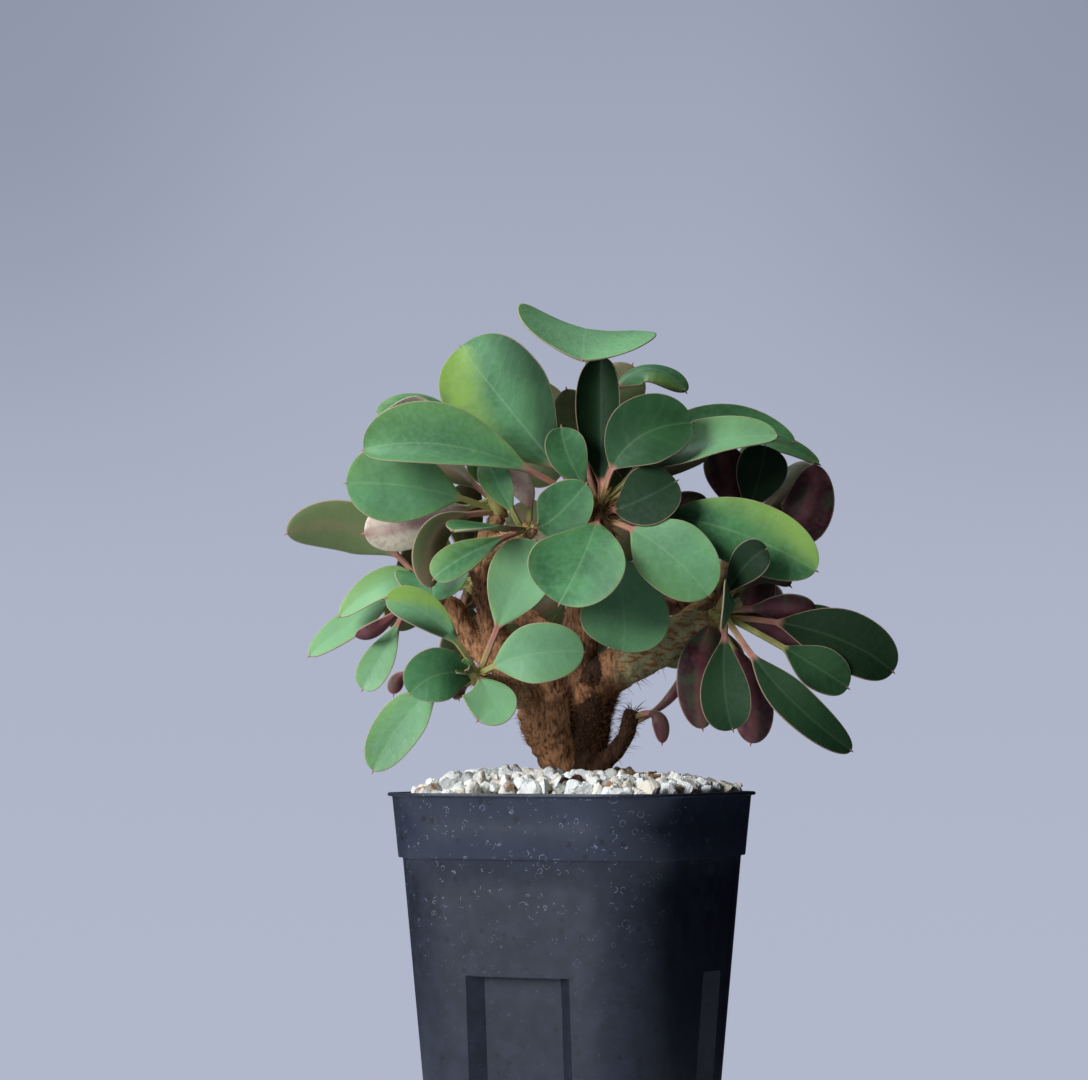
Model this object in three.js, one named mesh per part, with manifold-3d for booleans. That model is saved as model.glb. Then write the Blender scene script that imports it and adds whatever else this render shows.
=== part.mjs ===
// Potted jade-leaved euphorbia in a square nursery pot topped with pumice.
// Millimetres, +Z up. Origin: centre of the pot's underside. +X is to the
// right and -Y towards the viewer when the plant is seen from its front.

import * as THREE from 'three';
import { mergeVertices } from 'three/addons/utils/BufferGeometryUtils.js';
import { ConvexGeometry } from 'three/addons/geometries/ConvexGeometry.js';
import Module from 'manifold-3d';

const wasm = await Module();
wasm.setup();

// Pot
const POT_HEIGHT = 105;
const POT_TURN = THREE.MathUtils.degToRad(-24.3);
const LIP_HALF = 45;
const LIP_THICKNESS = 1;
const BAND_DEPTH = 18.3;
const BAND_TOP_HALF = 43.9;
const BAND_FOOT_HALF = 42.4;
const WALL_TOP_HALF = 41.3;
const WALL_FOOT_HALF = 34.5;
const CORNER_SHARE = 0.47;
const CORNER_STEPS = 4;
const WALL = 1.4;
const FLOOR = 1.8;
const FOOT_BEVEL = 0.8;
const FOOT_BEVEL_HEIGHT = 1.2;
const BAND_STEP_HEIGHT = 0.4;
const LIP_STEP_HEIGHT = 0.1;
const INNER_STEP_FOOT = 0.6;
const INNER_STEP_TOP = 1.8;
const PANEL_TOP = POT_HEIGHT - 50.7;
const PANEL_FOOT = 9;
const PANEL_WIDTH = 31.4;
const PANEL_FLOOR_WIDTH = 23.2;
const PANEL_DEPTH = 3.6;
const DRAIN_RADIUS = 4;
const DRAIN_OFFSET = 17;
const DRAIN_SIDES = 16;
const CUT_OVERLAP = 0.01;
const CUT_REACH = 3;

// Fill
const CLEARANCE = 0.3;
const SOIL_TOP = 99.5;
const HEAP_CENTRE_X = 3;
const HEAP_RISE = 5.2;
const HEAP_LEAN = 0.03;
const HEAP_REACH = 47.5;
const HEAP_LOWEST = -0.3;
const HEAP_ROOM = 20;
const BED_SHARES = [1, 0.8, 0.55, 0.3, 0.1];
const BED_MARGIN = 1;
const BED_DEPTH = 4.2;
const STONE_SPACING = 9.6;
const STONE_JITTER = 2.4;
const STONE_MARGIN = 3.4;
const STONE_RADIUS = 5.6;
const STONE_SIZE = [0.82, 1.16];
const STONE_WIDTH = [0.8, 1];
const STONE_HEIGHT = [0.66, 0.86];
const STONE_DEPTH = [0.35, 0.7];

// Loose litter on the pumice: points of right and near, and a radius
const DRY_ROOT = { places: [[-4, 40], [-2, 36], [1, 35], [2.5, 38], [0, 40]], radius: 0.6 };
const DRY_TWIG = { places: [[14, 24], [19, 23], [24, 24.5]], radius: 0.7 };
const LITTER_STEPS = 6;
const LITTER_SINK = 2;

// Leaves
const BLADE_THICKNESS = 0.9;
const PETIOLE_THICKNESS = 1.5;
const PETIOLE_HALF = 0.8;
const TIP_HALF = 0.5;
const PETIOLE_RUN = 0.25;
const SIDE_ROUNDNESS = 0.9;
const TIP_ROUNDNESS = 2.3;
const LEAF_STEPS = 6;
const BROAD_LEAF = 22;
const BEND_SHARE = 0.4;
const ROOT_STEP = 1.1;
const ROOT_ROWS = 5;

// Leaves of the plant's far side
const GOLDEN_ANGLE = THREE.MathUtils.degToRad(137.5);
const GOLDEN_SHARE = 0.618;
const FAR_TILT = 46;
const FAR_TILT_RANGE = 38;
const FAR_REACH = 0.85;
const FAR_REACH_RANGE = 0.3;
const FAR_BEND_TURN = 0.25;
const FAR_BEND_REACH = 0.45;
const FAR_SHAPE = { fold: 0.15, stalk: 0.25, widest: 0.6 };

// Stems
const STEM_SIDES = 7;
const STEM_STEP = 9;
const STEM_CLEARANCE = 0.35;
const STEM_FIRST_SIDE = new THREE.Vector3(0, 1, 0.01);
const STEM_UNEVEN = 0.07;
const STEM_UNEVEN_TURN = 1.9;
const STEM_END_BELOW = 3;
const CORE_RADIUS = 2.4;
const CORE_FIRST_SIDE = new THREE.Vector3(0.3, 0.2, 0.1);
const CORE_SHAPE = [[-4, 0.8], [-1.5, 1], [1.5, 1], [3.3, 0.6], [4.5, 0.2]];
const BRISTLE_FLOOR = POT_HEIGHT + 14;
const BRISTLE_ROOT = 1.2;
const BRISTLE_GIRTH = 0.5;
const BRISTLE_CLEAR_GIRTH = 1;
const BRISTLE_CLEAR = 0.6;
const BRISTLE_LEAN = 0.5;
const BRISTLE_SPAN = [0.1, 0.95];
const BRISTLE_LENGTH = [0.7, 1.3];

// The front view's eye, from which the plant's readings were taken.
const EYE = new THREE.Vector3(-8.5, -1027, POT_HEIGHT + 13.6);

const FINISH = {
  pot: { color: 0x1c1f24, roughness: 0.55, metalness: 0 },
  soil: { color: 0x3a2b20, roughness: 1, metalness: 0 },
  pumice: { color: 0xcfc9ba, roughness: 0.95, metalness: 0 },
  bark: { color: 0x6f4d34, roughness: 0.9, metalness: 0 },
  leaf: { color: 0x6f8d62, roughness: 0.55, metalness: 0 },
  litter: { color: 0x5a3322, roughness: 0.9, metalness: 0 },
};

// A point seen at `across` and `up` from the rim's centre, brought `near`
// millimetres towards the eye along its line of sight.
function seen(across, up, near) {
  const point = new THREE.Vector3(across, 0, POT_HEIGHT + up);
  return point.lerp(EYE, near / -EYE.y);
}

// Three numbers scaled to a length of one.
function unit(triple) {
  const size = Math.hypot(...triple);
  return triple.map((value) => value / size);
}

// A direction given as right, up and towards the viewer.
function heading(way) {
  const [right, up, near] = unit(way);
  return new THREE.Vector3(right, -near, up);
}

// A repeatable run of numbers from 0 to 1.
function seeded(seed) {
  let state = seed;
  return () => {
    state = (state * 16807) % 2147483647;
    return state / 2147483647;
  };
}

function pick(random, [low, high]) {
  return THREE.MathUtils.lerp(low, high, random());
}

function turnedAboutUp(point, angle) {
  return point.applyAxisAngle(new THREE.Vector3(0, 0, 1), angle);
}

function solidFromTriangles(points, triangles) {
  const geometry = new THREE.BufferGeometry();
  const places = points.flatMap((point) => point.toArray());
  geometry.setAttribute('position', new THREE.Float32BufferAttribute(places, 3));
  geometry.setIndex(triangles.flat());
  return solidFromGeometry(geometry);
}

function solidFromGeometry(source) {
  const bare = source.clone();
  bare.deleteAttribute('normal');
  bare.deleteAttribute('uv');
  const merged = mergeVertices(bare, 1e-4);
  const mesh = new wasm.Mesh({
    numProp: 3,
    vertProperties: new Float32Array(merged.attributes.position.array),
    triVerts: new Uint32Array(merged.index.array),
  });
  return new wasm.Manifold(mesh);
}

function fuse(solids) {
  return wasm.Manifold.union(solids);
}

// The largest body of a solid: trimming can leave small scraps beside it.
function mainBody(solid) {
  const bodies = solid.decompose();
  return bodies.reduce((best, body) => (body.volume() > best.volume() ? body : best));
}

function meshOf(name, solid, finish) {
  const { vertProperties, triVerts } = solid.getMesh();
  const geometry = new THREE.BufferGeometry();
  geometry.setAttribute('position', new THREE.BufferAttribute(vertProperties, 3));
  geometry.setIndex(new THREE.BufferAttribute(triVerts, 1));
  geometry.computeVertexNormals();
  const mesh = new THREE.Mesh(geometry, new THREE.MeshStandardMaterial(finish));
  mesh.name = name;
  return mesh;
}

// A closed solid through equal rings of points, each anticlockwise about the
// direction of travel, with a fan over each end.
function loft(rings) {
  const sides = rings[0].length;
  const points = rings.flat();
  const triangles = [];
  for (let i = 0; i + 1 < rings.length; i += 1) {
    for (let j = 0; j < sides; j += 1) {
      const a = i * sides + j;
      const b = i * sides + ((j + 1) % sides);
      triangles.push([a, b, b + sides], [a, b + sides, a + sides]);
    }
  }
  const first = points.length;
  points.push(centroid(rings[0]), centroid(rings.at(-1)));
  const lastRing = (rings.length - 1) * sides;
  for (let j = 0; j < sides; j += 1) {
    const next = (j + 1) % sides;
    triangles.push([first, next, j], [first + 1, lastRing + j, lastRing + next]);
  }
  return solidFromTriangles(points, triangles);
}

function centroid(points) {
  const sum = points.reduce((total, point) => total.add(point), new THREE.Vector3());
  return sum.divideScalar(points.length);
}

// Pot section: a square with round corners, `half` to each side.
function squareRing(half, z) {
  const radius = half * CORNER_SHARE;
  const points = [];
  for (let corner = 0; corner < 4; corner += 1) {
    const turn = (corner * Math.PI) / 2;
    const centre = new THREE.Vector2(half - radius, half - radius);
    for (let step = 0; step <= CORNER_STEPS; step += 1) {
      const angle = (step / CORNER_STEPS) * (Math.PI / 2);
      const x = centre.x + radius * Math.cos(angle);
      const y = centre.y + radius * Math.sin(angle);
      points.push(turnedAboutUp(new THREE.Vector3(x, y, z), turn));
    }
  }
  return points;
}

// Half width of the pot's outer wall below the band.
function wallHalf(z) {
  const bandFoot = POT_HEIGHT - BAND_DEPTH;
  return THREE.MathUtils.lerp(WALL_FOOT_HALF, WALL_TOP_HALF, z / bandFoot);
}

// Half width of the outer wall in the band under the lip.
function bandHalf(z) {
  const bandFoot = POT_HEIGHT - BAND_DEPTH;
  return THREE.MathUtils.lerp(BAND_FOOT_HALF, BAND_TOP_HALF, (z - bandFoot) / BAND_DEPTH);
}

function potOutside() {
  const bandFoot = POT_HEIGHT - BAND_DEPTH;
  const lipFoot = POT_HEIGHT - LIP_THICKNESS;
  return loft([
    squareRing(WALL_FOOT_HALF - FOOT_BEVEL, 0),
    squareRing(wallHalf(FOOT_BEVEL_HEIGHT), FOOT_BEVEL_HEIGHT),
    squareRing(WALL_TOP_HALF, bandFoot),
    squareRing(BAND_FOOT_HALF, bandFoot + BAND_STEP_HEIGHT),
    squareRing(bandHalf(lipFoot - LIP_STEP_HEIGHT), lipFoot - LIP_STEP_HEIGHT),
    squareRing(LIP_HALF, lipFoot),
    squareRing(LIP_HALF, POT_HEIGHT),
  ]);
}

// The room inside the wall, `spare` millimetres clear of it, up to `top`.
function insideLoft(spare, top) {
  const bandFoot = POT_HEIGHT - BAND_DEPTH;
  const inset = WALL + spare;
  return loft([
    squareRing(wallHalf(FLOOR) - inset, FLOOR + spare),
    squareRing(WALL_TOP_HALF - inset, bandFoot + INNER_STEP_FOOT),
    squareRing(bandHalf(bandFoot + INNER_STEP_TOP) - inset, bandFoot + INNER_STEP_TOP),
    squareRing(bandHalf(top) - inset, top),
  ]);
}

// The recess pressed into one wall, grown by `spare` on its inner sides.
function panelRecess(side, spare) {
  const floorHalf = PANEL_FLOOR_WIDTH / 2 + spare;
  const mouthHalf = PANEL_WIDTH / 2 + spare;
  const points = [];
  for (const z of [PANEL_FOOT - spare, PANEL_TOP + spare]) {
    const face = wallHalf(z);
    for (const sign of [-1, 1]) {
      points.push(new THREE.Vector3(sign * floorHalf, PANEL_DEPTH + spare - face, z));
      points.push(new THREE.Vector3(sign * mouthHalf, -CUT_OVERLAP - face, z));
      points.push(new THREE.Vector3(sign * mouthHalf, -CUT_REACH - face, z));
    }
  }
  const geometry = new ConvexGeometry(points);
  geometry.rotateZ((side * Math.PI) / 2);
  return solidFromGeometry(geometry);
}

function panelRecesses(spare) {
  return fuse([0, 1, 2, 3].map((side) => panelRecess(side, spare)));
}

function drainHoles() {
  const holes = [];
  for (const x of [-DRAIN_OFFSET, DRAIN_OFFSET]) {
    for (const y of [-DRAIN_OFFSET, DRAIN_OFFSET]) {
      const hole = new THREE.CylinderGeometry(DRAIN_RADIUS, DRAIN_RADIUS, 2 * CUT_REACH, DRAIN_SIDES);
      hole.rotateX(Math.PI / 2);
      hole.translate(x, y, 0);
      holes.push(solidFromGeometry(hole));
    }
  }
  return fuse(holes);
}

function potSolid() {
  const room = insideLoft(0, POT_HEIGHT + CUT_REACH).subtract(panelRecesses(WALL));
  return potOutside().subtract(panelRecesses(0)).subtract(room).subtract(drainHoles());
}

// Turns a solid from the pot's own frame to the plant's.
function turned(solid) {
  return solid.rotate([0, 0, THREE.MathUtils.radToDeg(POT_TURN)]);
}

function soilSolid(stems) {
  const room = insideLoft(CLEARANCE, SOIL_TOP).subtract(panelRecesses(WALL + CLEARANCE));
  return mainBody(turned(room).subtract(stems));
}

// The pumice's surface: flat in its middle, lower towards the right, and under
// the rim in the pot's corners.
function heapTop(x, y) {
  const away = Math.hypot(x - HEAP_CENTRE_X, y) / HEAP_REACH;
  return POT_HEIGHT + (HEAP_RISE - HEAP_LEAN * x) * Math.max(HEAP_LOWEST, 1 - away ** 4);
}

// The packed body of the gravel, under its top stones.
function heapBody() {
  const half = BAND_TOP_HALF - WALL - BED_MARGIN;
  const rings = [squareRing(half, SOIL_TOP + CLEARANCE)];
  for (const share of BED_SHARES) {
    const ring = squareRing(half * share, 0);
    ring.forEach((point) => {
      const place = turnedAboutUp(point.clone(), POT_TURN);
      point.z = heapTop(place.x, place.y) - BED_DEPTH;
    });
    rings.push(ring);
  }
  return turned(loft(rings));
}

function stone(x, y, random) {
  const geometry = new THREE.OctahedronGeometry(STONE_RADIUS * pick(random, STONE_SIZE), 0);
  geometry.scale(1, pick(random, STONE_WIDTH), pick(random, STONE_HEIGHT));
  geometry.rotateX(random() * Math.PI);
  geometry.rotateZ(random() * Math.PI);
  geometry.translate(x, y, heapTop(x, y) - STONE_RADIUS * pick(random, STONE_DEPTH));
  return solidFromGeometry(geometry);
}

function heapStones() {
  const random = seeded(41);
  const stones = [];
  const half = BAND_TOP_HALF - WALL - STONE_MARGIN;
  const rows = Math.floor(half / STONE_SPACING);
  for (let row = -rows; row <= rows; row += 1) {
    for (let column = -rows; column <= rows; column += 1) {
      const stagger = row % 2 === 0 ? 0 : STONE_SPACING / 2;
      const spot = new THREE.Vector3(column * STONE_SPACING + stagger, row * STONE_SPACING, 0);
      spot.x += (random() - 0.5) * STONE_JITTER;
      spot.y += (random() - 0.5) * STONE_JITTER;
      turnedAboutUp(spot, POT_TURN);
      stones.push(stone(spot.x, spot.y, random));
    }
  }
  return stones;
}

function gravelSolid(stems, litter) {
  const bed = fuse([heapBody(), ...heapStones()]);
  const room = turned(insideLoft(CLEARANCE, POT_HEIGHT + HEAP_ROOM));
  const floorCut = turned(insideLoft(0, SOIL_TOP + CLEARANCE));
  return mainBody(bed.intersect(room).subtract(floorCut).subtract(stems).subtract(litter));
}

// A stem through knots of [across, up, near, radius], grown by `spare`, with a
// gently uneven girth.
function stem(knots, spare) {
  const places = knots.map(([across, up, near]) => seen(across, up, near));
  const curve = new THREE.CatmullRomCurve3(places, false, 'centripetal');
  const count = Math.max(3, Math.round(curve.getLength() / STEM_STEP));
  let side = STEM_FIRST_SIDE;
  const rings = [];
  for (let i = 0; i <= count; i += 1) {
    const t = i / count;
    const along = curve.getTangent(t);
    side = side.clone().addScaledVector(along, -side.dot(along)).normalize();
    const other = new THREE.Vector3().crossVectors(along, side);
    const centre = curve.getPoint(t);
    if (i === 0) centre.addScaledVector(along, -spare);
    if (i === count) centre.addScaledVector(along, spare);
    rings.push(stemRing(centre, side, other, knotRadius(knots, t) + spare, i));
  }
  return loft(rings);
}

function stemRing(centre, side, other, radius, index) {
  const points = [];
  for (let j = 0; j < STEM_SIDES; j += 1) {
    const angle = (j / STEM_SIDES) * Math.PI * 2;
    const uneven = radius * (1 + STEM_UNEVEN * Math.sin(3 * angle + index * STEM_UNEVEN_TURN));
    const point = centre.clone();
    point.addScaledVector(side, uneven * Math.cos(angle));
    point.addScaledVector(other, uneven * Math.sin(angle));
    points.push(point);
  }
  return points;
}

function knotRadius(knots, t) {
  const place = t * (knots.length - 1);
  const low = Math.min(Math.floor(place), knots.length - 2);
  return THREE.MathUtils.lerp(knots[low][3], knots[low + 1][3], place - low);
}

// The trunk's lobes: knots of across, up, near and radius.
const TRUNK = [
  [[-3, -24, 0, 4.5], [-3, 0, 1, 6], [-3.2, 8, 2, 6.4], [-5, 14, 2.5, 7.2], [-6.6, 18, 3, 8],
    [-7.6, 23, 3, 8.3], [-9, 29, 2, 7.6], [-13, 34, 0, 6], [-18, 39, -1, 4.8], [-22, 43, -1, 4],
    [-24.5, 51, 0, 3.2], [-26.5, 60, 2, 2.8], [-26, 69, 5, 2.7]],
  [[3.4, -24, 0, 4.4], [3.5, 5, 2, 6.2], [3.8, 14, 2, 6.1], [4.1, 20, 2, 6.2], [5.2, 27, 1, 6.8],
    [7, 33, 1, 7]],
  [[0, -24, -3, 4.5], [0, 10, -4, 7.4], [-2, 22, -4, 9], [-1, 33, -3, 8.6]],
];

// Rosettes. `centre` and `route` knots are across, up, near (and radius);
// `axis` is right, up, near. Each leaf: name, bend point, tip, the way its
// upper side faces, width, fold, the stalk's share of the leaf's length, and
// the share of the blade at which it is widest.
const ROSETTES = {
  crown: {
    centre: [8, 80, 10],
    axis: [0, 0.8, 0.5],
    route: [[-1, 24, 0, 6.5], [1, 42, -1, 5.6], [5, 58, 1, 5], [8, 69, 4, 4.8]],
    leaves: [
      ['A1', [-12.8, 103, 7], [-32.5, 127.8, 2], [-0.13, -0.06, 0.95], 29.9, 0.12, 0.23, 0.49],
      ['A2', [-20, 95, 20], [-60.3, 98, 24], [0, 0.6, 0.8], 22, 0.42, 0.3, 0.6],
      ['T2', [8, 97, 10], [8, 124.4, 6], [-0.2, 0, 1], 12.8, 0.9, 0.2, 0.6],
      ['T3', [13.5, 96.5, 17], [34, 105.8, 14], [-0.1, 0.25, 0.96], 20.8, 0.3, 0.28, 0.52],
      ['T4', [24.5, 94.8, 12], [58.5, 102, 8], [-0.1, 0.71, 0.65], 17, 0.3, 0.3, 0.46],
      ['T5', [28, 101.5, 0], [63.4, 100.1, -6], [0, 0.6, 0.8], 11.5, 0.2, 0.25, 0.4],
      ['T7', [3, 96, 2], [-2, 115.5, -3], [0, 0.3, -0.95], 11, 0.2, 0.3, 0.6],
      ['T8', [1, 91, 13.5], [-3.5, 104.5, 15], [0, 0, 1], 11.5, 0.2, 0.25, 0.6],
      ['C2', [4, 70, 27], [-4, 53.8, 38], [0, 0.65, 0.76], 27, 0.2, 0.15, 0.6],
      ['C3', [13, 62, 15], [14, 40, 20], [0.1, 0.35, 0.93], 25, 0.15, 0.25, 0.6],
      ['D1', [20.5, 73, 21], [38.8, 56.2, 27], [0, 0.3, 0.95], 21.5, 0.15, 0.28, 0.52],
      ['D2', [32.5, 78, 14], [69.5, 63.3, 16], [0, 0.25, 0.97], 20.2, 0.2, 0.28, 0.57],
      ['R1', [15.5, 82, 17], [29.5, 89, 19], [0, 0.2, 1], 17, 0.2, 0.22, 0.6],
      ['R2', [22, 90, 4], [39, 97, 0], [0, 0.6, -0.8], 8, 0.3, 0.35, 0.6],
      ['R3', [24, 83, 5], [38, 81.5, -2], [0.1, 0.5, -0.85], 7, 0.2, 0.35, 0.6],
    ],
  },
  left_mid: {
    centre: [-13, 75, 15],
    axis: [0.45, 0.5, 0.7],
    route: [[-26, 66, 4, 2.4], [-21, 72, 9, 2.3]],
    leaves: [
      ['A6', [-19, 83, 18], [-25, 95.5, 14], [-0.2, 0, 1], 9, 0.2, 0.3, 0.6],
      ['A7', [-13, 83, 12], [-21, 93.3, 9], [0, 0.2, -1], 7, 0.1, 0.3, 0.6],
      ['A11', [-23, 75.5, 28], [-34.5, 74.7, 40], [0, 1, 0.25], 14, 0.2, 0.2, 0.6],
      ['A19', [-27, 69.5, 23], [-40, 61, 26], [-0.1, 0.45, 0.9], 10.5, 0.2, 0.2, 0.6],
      ['C1', [-7.5, 77, 16], [3.7, 88.3, 20], [0, 0, 1], 15.5, 0.15, 0.15, 0.6],
    ],
  },
  left_upper: {
    centre: [-22, 82, 6],
    axis: [-0.3, 0.9, 0.2],
    route: [[-26.3, 64, 3, 2.6], [-25.5, 72, 5, 2.6]],
    leaves: [
      ['A3', [-38.5, 85.8, 11], [-65.3, 88.4, 14], [0, 0.1, 1], 22, 0.12, 0.26, 0.6],
      ['A4', [-34, 106, -6], [-56, 108, -8], [0.1, 0.96, 0.1], 14.8, 0.2, 0.4, 0.58],
      ['A5', [-30, 89, 0], [-42, 94.5, -4], [0, 0.3, -0.95], 7, 0.15, 0.3, 0.6],
      ['A5b', [-26, 89, 7], [-28.5, 96.5, 8], [0, 0, 1], 5.5, 0.2, 0.3, 0.6],
      ['A9', [-38, 79, 3], [-60, 74, 2], [0, 0.5, -0.85], 16.5, 0.15, 0.2, 0.6],
      ['A12', [-36, 77, 15], [-41, 58.5, 20], [-0.4, 0.2, -0.9], 10, 0.15, 0.2, 0.6],
    ],
  },
  left_low: {
    centre: [-28, 33, 28],
    axis: [-0.4, 0.4, 0.8],
    route: [[-9, 26, 4, 4.5], [-17, 29, 14, 3.4]],
    leaves: [
      ['A17', [-36, 45.5, 31], [-53.8, 55.2, 33], [0.2, 0.35, 0.9], 11, 0.2, 0.3, 0.6],
      ['C4', [-21, 49, 31], [-11, 71.5, 27], [0, -0.1, 1], 17.5, 0.12, 0.35, 0.6],
      ['C6', [-17, 38, 35], [2.8, 40, 34], [0, 0.1, 1], 16.5, 0.12, 0.2, 0.5],
      ['C7', [-24.4, 28.2, 34], [-27.4, 20.4, 41], [0.1, 0.55, 0.83], 15.2, 0.12, 0.1, 0.6],
      ['C8', [-41.5, 27.6, 30], [-57.3, 6, 33], [-0.1, 0.26, 0.95], 13.5, 0.15, 0.33, 0.53],
      ['C9', [-35.5, 34, 35], [-46.8, 28, 38], [0, 0.11, 1], 15.1, 0.12, 0.07, 0.57],
      ['C10', [-31.5, 30, 26], [-33, 26.6, 27], [0, 0.2, -1], 3.4, 0.2, 0.3, 0.6],
      ['C11', [-43, 35, 24], [-51.6, 28, 23], [0, 0.3, -1], 4.2, 0.2, 0.6, 0.6],
    ],
  },
  left_far: {
    centre: [-43, 58, -8],
    axis: [-0.7, 0.7, 0],
    route: [[-16, 36, -4, 4.5], [-25, 39, -9, 3.6], [-31, 46, -11, 3.2], [-35, 53, -10, 3]],
    leaves: [
      ['A8', [-56.5, 72.2, -9], [-82.2, 73.9, -8], [0.2, 0.26, -0.93], 15, 0.15, 0.25, 0.4],
      ['A10', [-50.3, 60.3, -3], [-66.9, 50.2, 0], [0.1, 0.6, 0.75], 10, 0.2, 0.1, 0.37],
      ['A14', [-56.5, 52.3, -8], [-75.6, 38.9, -6], [-0.3, 0.4, 0.85], 9.5, 0.15, 0.28, 0.45],
      ['A15', [-52, 50, 2], [-62.3, 44.6, 3], [0, 0.4, -0.9], 4.5, 0.2, 0.3, 0.6],
      ['A16', [-52.3, 44, -1], [-60.4, 29.3, 2], [-0.2, 0.16, 0.96], 9.4, 0.15, 0.29, 0.57],
      ['A18', [-41, 62, 3], [-40, 54.5, 15], [0, 0.8, 0.6], 21, 0.15, 0.1, 0.6],
    ],
  },
  right: {
    centre: [42, 51, 8],
    axis: [0.85, 0.45, 0.3],
    route: [[3.8, 26, 1, 6], [9, 33, 1, 6.4], [18, 38, 2, 6], [26, 42.2, 4, 5.8],
      [33, 46.8, 6, 5.2]],
    leaves: [
      ['D3', [46.5, 61, 19], [55.5, 69.5, 24], [-0.3, 0, 0.95], 10.5, 0.15, 0.25, 0.6],
      ['D3b', [44, 57.5, 22], [42.4, 46.6, 29], [0.9, 0.2, 0.3], 8, 0.1, 0.25, 0.6],
      ['D4', [51, 60.5, 5], [62, 59, 2], [0, 0.5, -0.85], 6, 0.2, 0.25, 0.6],
      ['D5', [55, 52.5, 12], [69.1, 51, 10], [0, 0.4, -0.9], 8.6, 0.15, 0.25, 0.6],
      ['D6', [59.5, 50, 3], [76.5, 49.7, 0], [0, 0.7, 0.7], 10, 0.15, 0.3, 0.6],
      ['D7', [65, 47, 14], [91.4, 34.3, 13], [0, 0.3, 0.95], 17.8, 0.2, 0.28, 0.54],
      ['D8', [53.5, 49, 8], [63, 40, 4], [0.4, 0.3, -0.85], 9.5, 0.2, 0.2, 0.6],
      ['D9', [59.5, 41.5, 17], [78.4, 29.7, 20], [0.1, 0.4, 0.9], 13.4, 0.15, 0.42, 0.52],
      ['D10', [54.5, 34.6, 26], [79.3, 11.8, 26], [0.14, 0.2, 0.97], 11.2, 0.15, 0.3, 0.47],
      ['D11', [43, 36, 21], [45.5, 17.8, 25], [-0.1, 0.1, 1], 14, 0.2, 0.2, 0.6],
      ['D12', [48.5, 35, 10], [50.7, 13.9, 10], [0.2, 0, -1], 11.6, 0.15, 0.22, 0.6],
      ['D13', [37, 38.5, 12], [36.9, 18.1, 12], [-0.16, 0, -1], 13, 0.15, 0.08, 0.48],
    ],
  },
  right_upper: {
    centre: [48, 76, -12],
    axis: [0.2, 0.95, -0.1],
    route: [[30, 46, 4, 3.8], [38, 54, -5, 3], [44, 64, -11, 2.8]],
    leaves: [
      ['R4', [45, 86, -12], [42, 99, -12], [0, 0.1, -1], 12, 0.15, 0.2, 0.6],
      ['R5', [52, 86, -5], [55, 99, -4], [0.2, 0, 0.98], 15, 0.15, 0.2, 0.6],
      ['R6', [50, 95.5, -16], [70.4, 94, -14], [0, 0.8, 0.6], 8.5, 0.2, 0.25, 0.42],
      ['R7', [61.8, 75.5, -12], [69, 93.8, -12], [0.2, 0, -1], 15, 0.15, 0.25, 0.45],
    ],
    far: { count: 3, length: 28, width: 14, axis: [0.5, -0.05, -0.9], first: 354 },
  },
  top_back: {
    centre: [4, 104, -14],
    axis: [0, 1, -0.1],
    route: [[6, 62, 0, 3.6], [4, 80, -9, 3.4], [4, 92, -13, 3]],
    leaves: [
      ['T1', [4, 128.1, -7], [2.5, 123.9, 26], [0.155, 0.89, 0.45], 40.1, 0.19, 0.5, 0.6],
      ['T6', [15.5, 118.8, -14], [32.2, 114.9, -8], [0.1, 0.8, 0.5], 13, -0.2, 0.3, 0.42],
    ],
    far: { count: 6, length: 28, width: 16, axis: [0, -0.25, -1], first: 66 },
  },
  stub: {
    centre: [16.6, 21.7, 7],
    axis: [0.3, 0.95, 0],
    route: [[5.5, 5.5, 5, 3], [11, 10.5, 7, 2.5], [14.8, 16, 7, 2.3]],
    leaves: [
      ['D14', [24.5, 24, 8], [33, 36, 8], [0, 0, -1], 2.8, 0.1, 0.3, 0.6],
      ['S1', [22.3, 22.3, 11], [25.3, 14, 12], [0, 0, -1], 4.4, 0.1, 0.35, 0.6],
    ],
  },
  back_left: {
    centre: [-29, 59, -36],
    axis: [-0.6, 0.4, -0.8],
    route: [[-4, 40, -2, 4], [-14, 50, -20, 3.2]],
    leaves: [],
    far: { count: 6, length: 30, width: 17, axis: [-0.7, 0.2, -0.7], first: 54 },
  },
  back_mid: {
    centre: [3, 62, -46],
    axis: [0, 0.3, -1],
    route: [[3, 48, -2, 4], [4, 56, -22, 3.2]],
    leaves: [],
    far: { count: 6, length: 31, width: 16, axis: [0, -0.05, -1], first: 354 },
  },
  back_right: {
    centre: [34.5, 54, -35],
    axis: [0.6, 0.3, -0.8],
    route: [[4, 46, 0, 3.8], [16, 52, -16, 3.2]],
    leaves: [],
    far: { count: 6, length: 29, width: 16, axis: [0.7, -0.05, -0.7], first: 354 },
  },
  back_low: {
    centre: [-2, 30, -36],
    axis: [-0.1, 0.1, -1],
    route: [[0, 22, -4, 4.5], [-1, 27, -20, 3.4]],
    leaves: [],
    far: { count: 5, length: 27, width: 13, axis: [-0.1, 0.4, -1], first: 204 },
  },
};

// The knots of a rosette's own stem, ended under its growing tip.
function routeTo(rosette) {
  const axis = unit(rosette.axis);
  const end = rosette.centre.map((value, k) => value - STEM_END_BELOW * axis[k]);
  const lastRadius = Math.min(CORE_RADIUS, rosette.route.at(-1)[3]);
  return [...rosette.route, [...end, lastRadius]];
}

function stemTubes(spare) {
  const routes = [...TRUNK, ...Object.values(ROSETTES).map(routeTo)];
  return routes.map((knots) => stem(knots, spare));
}

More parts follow.
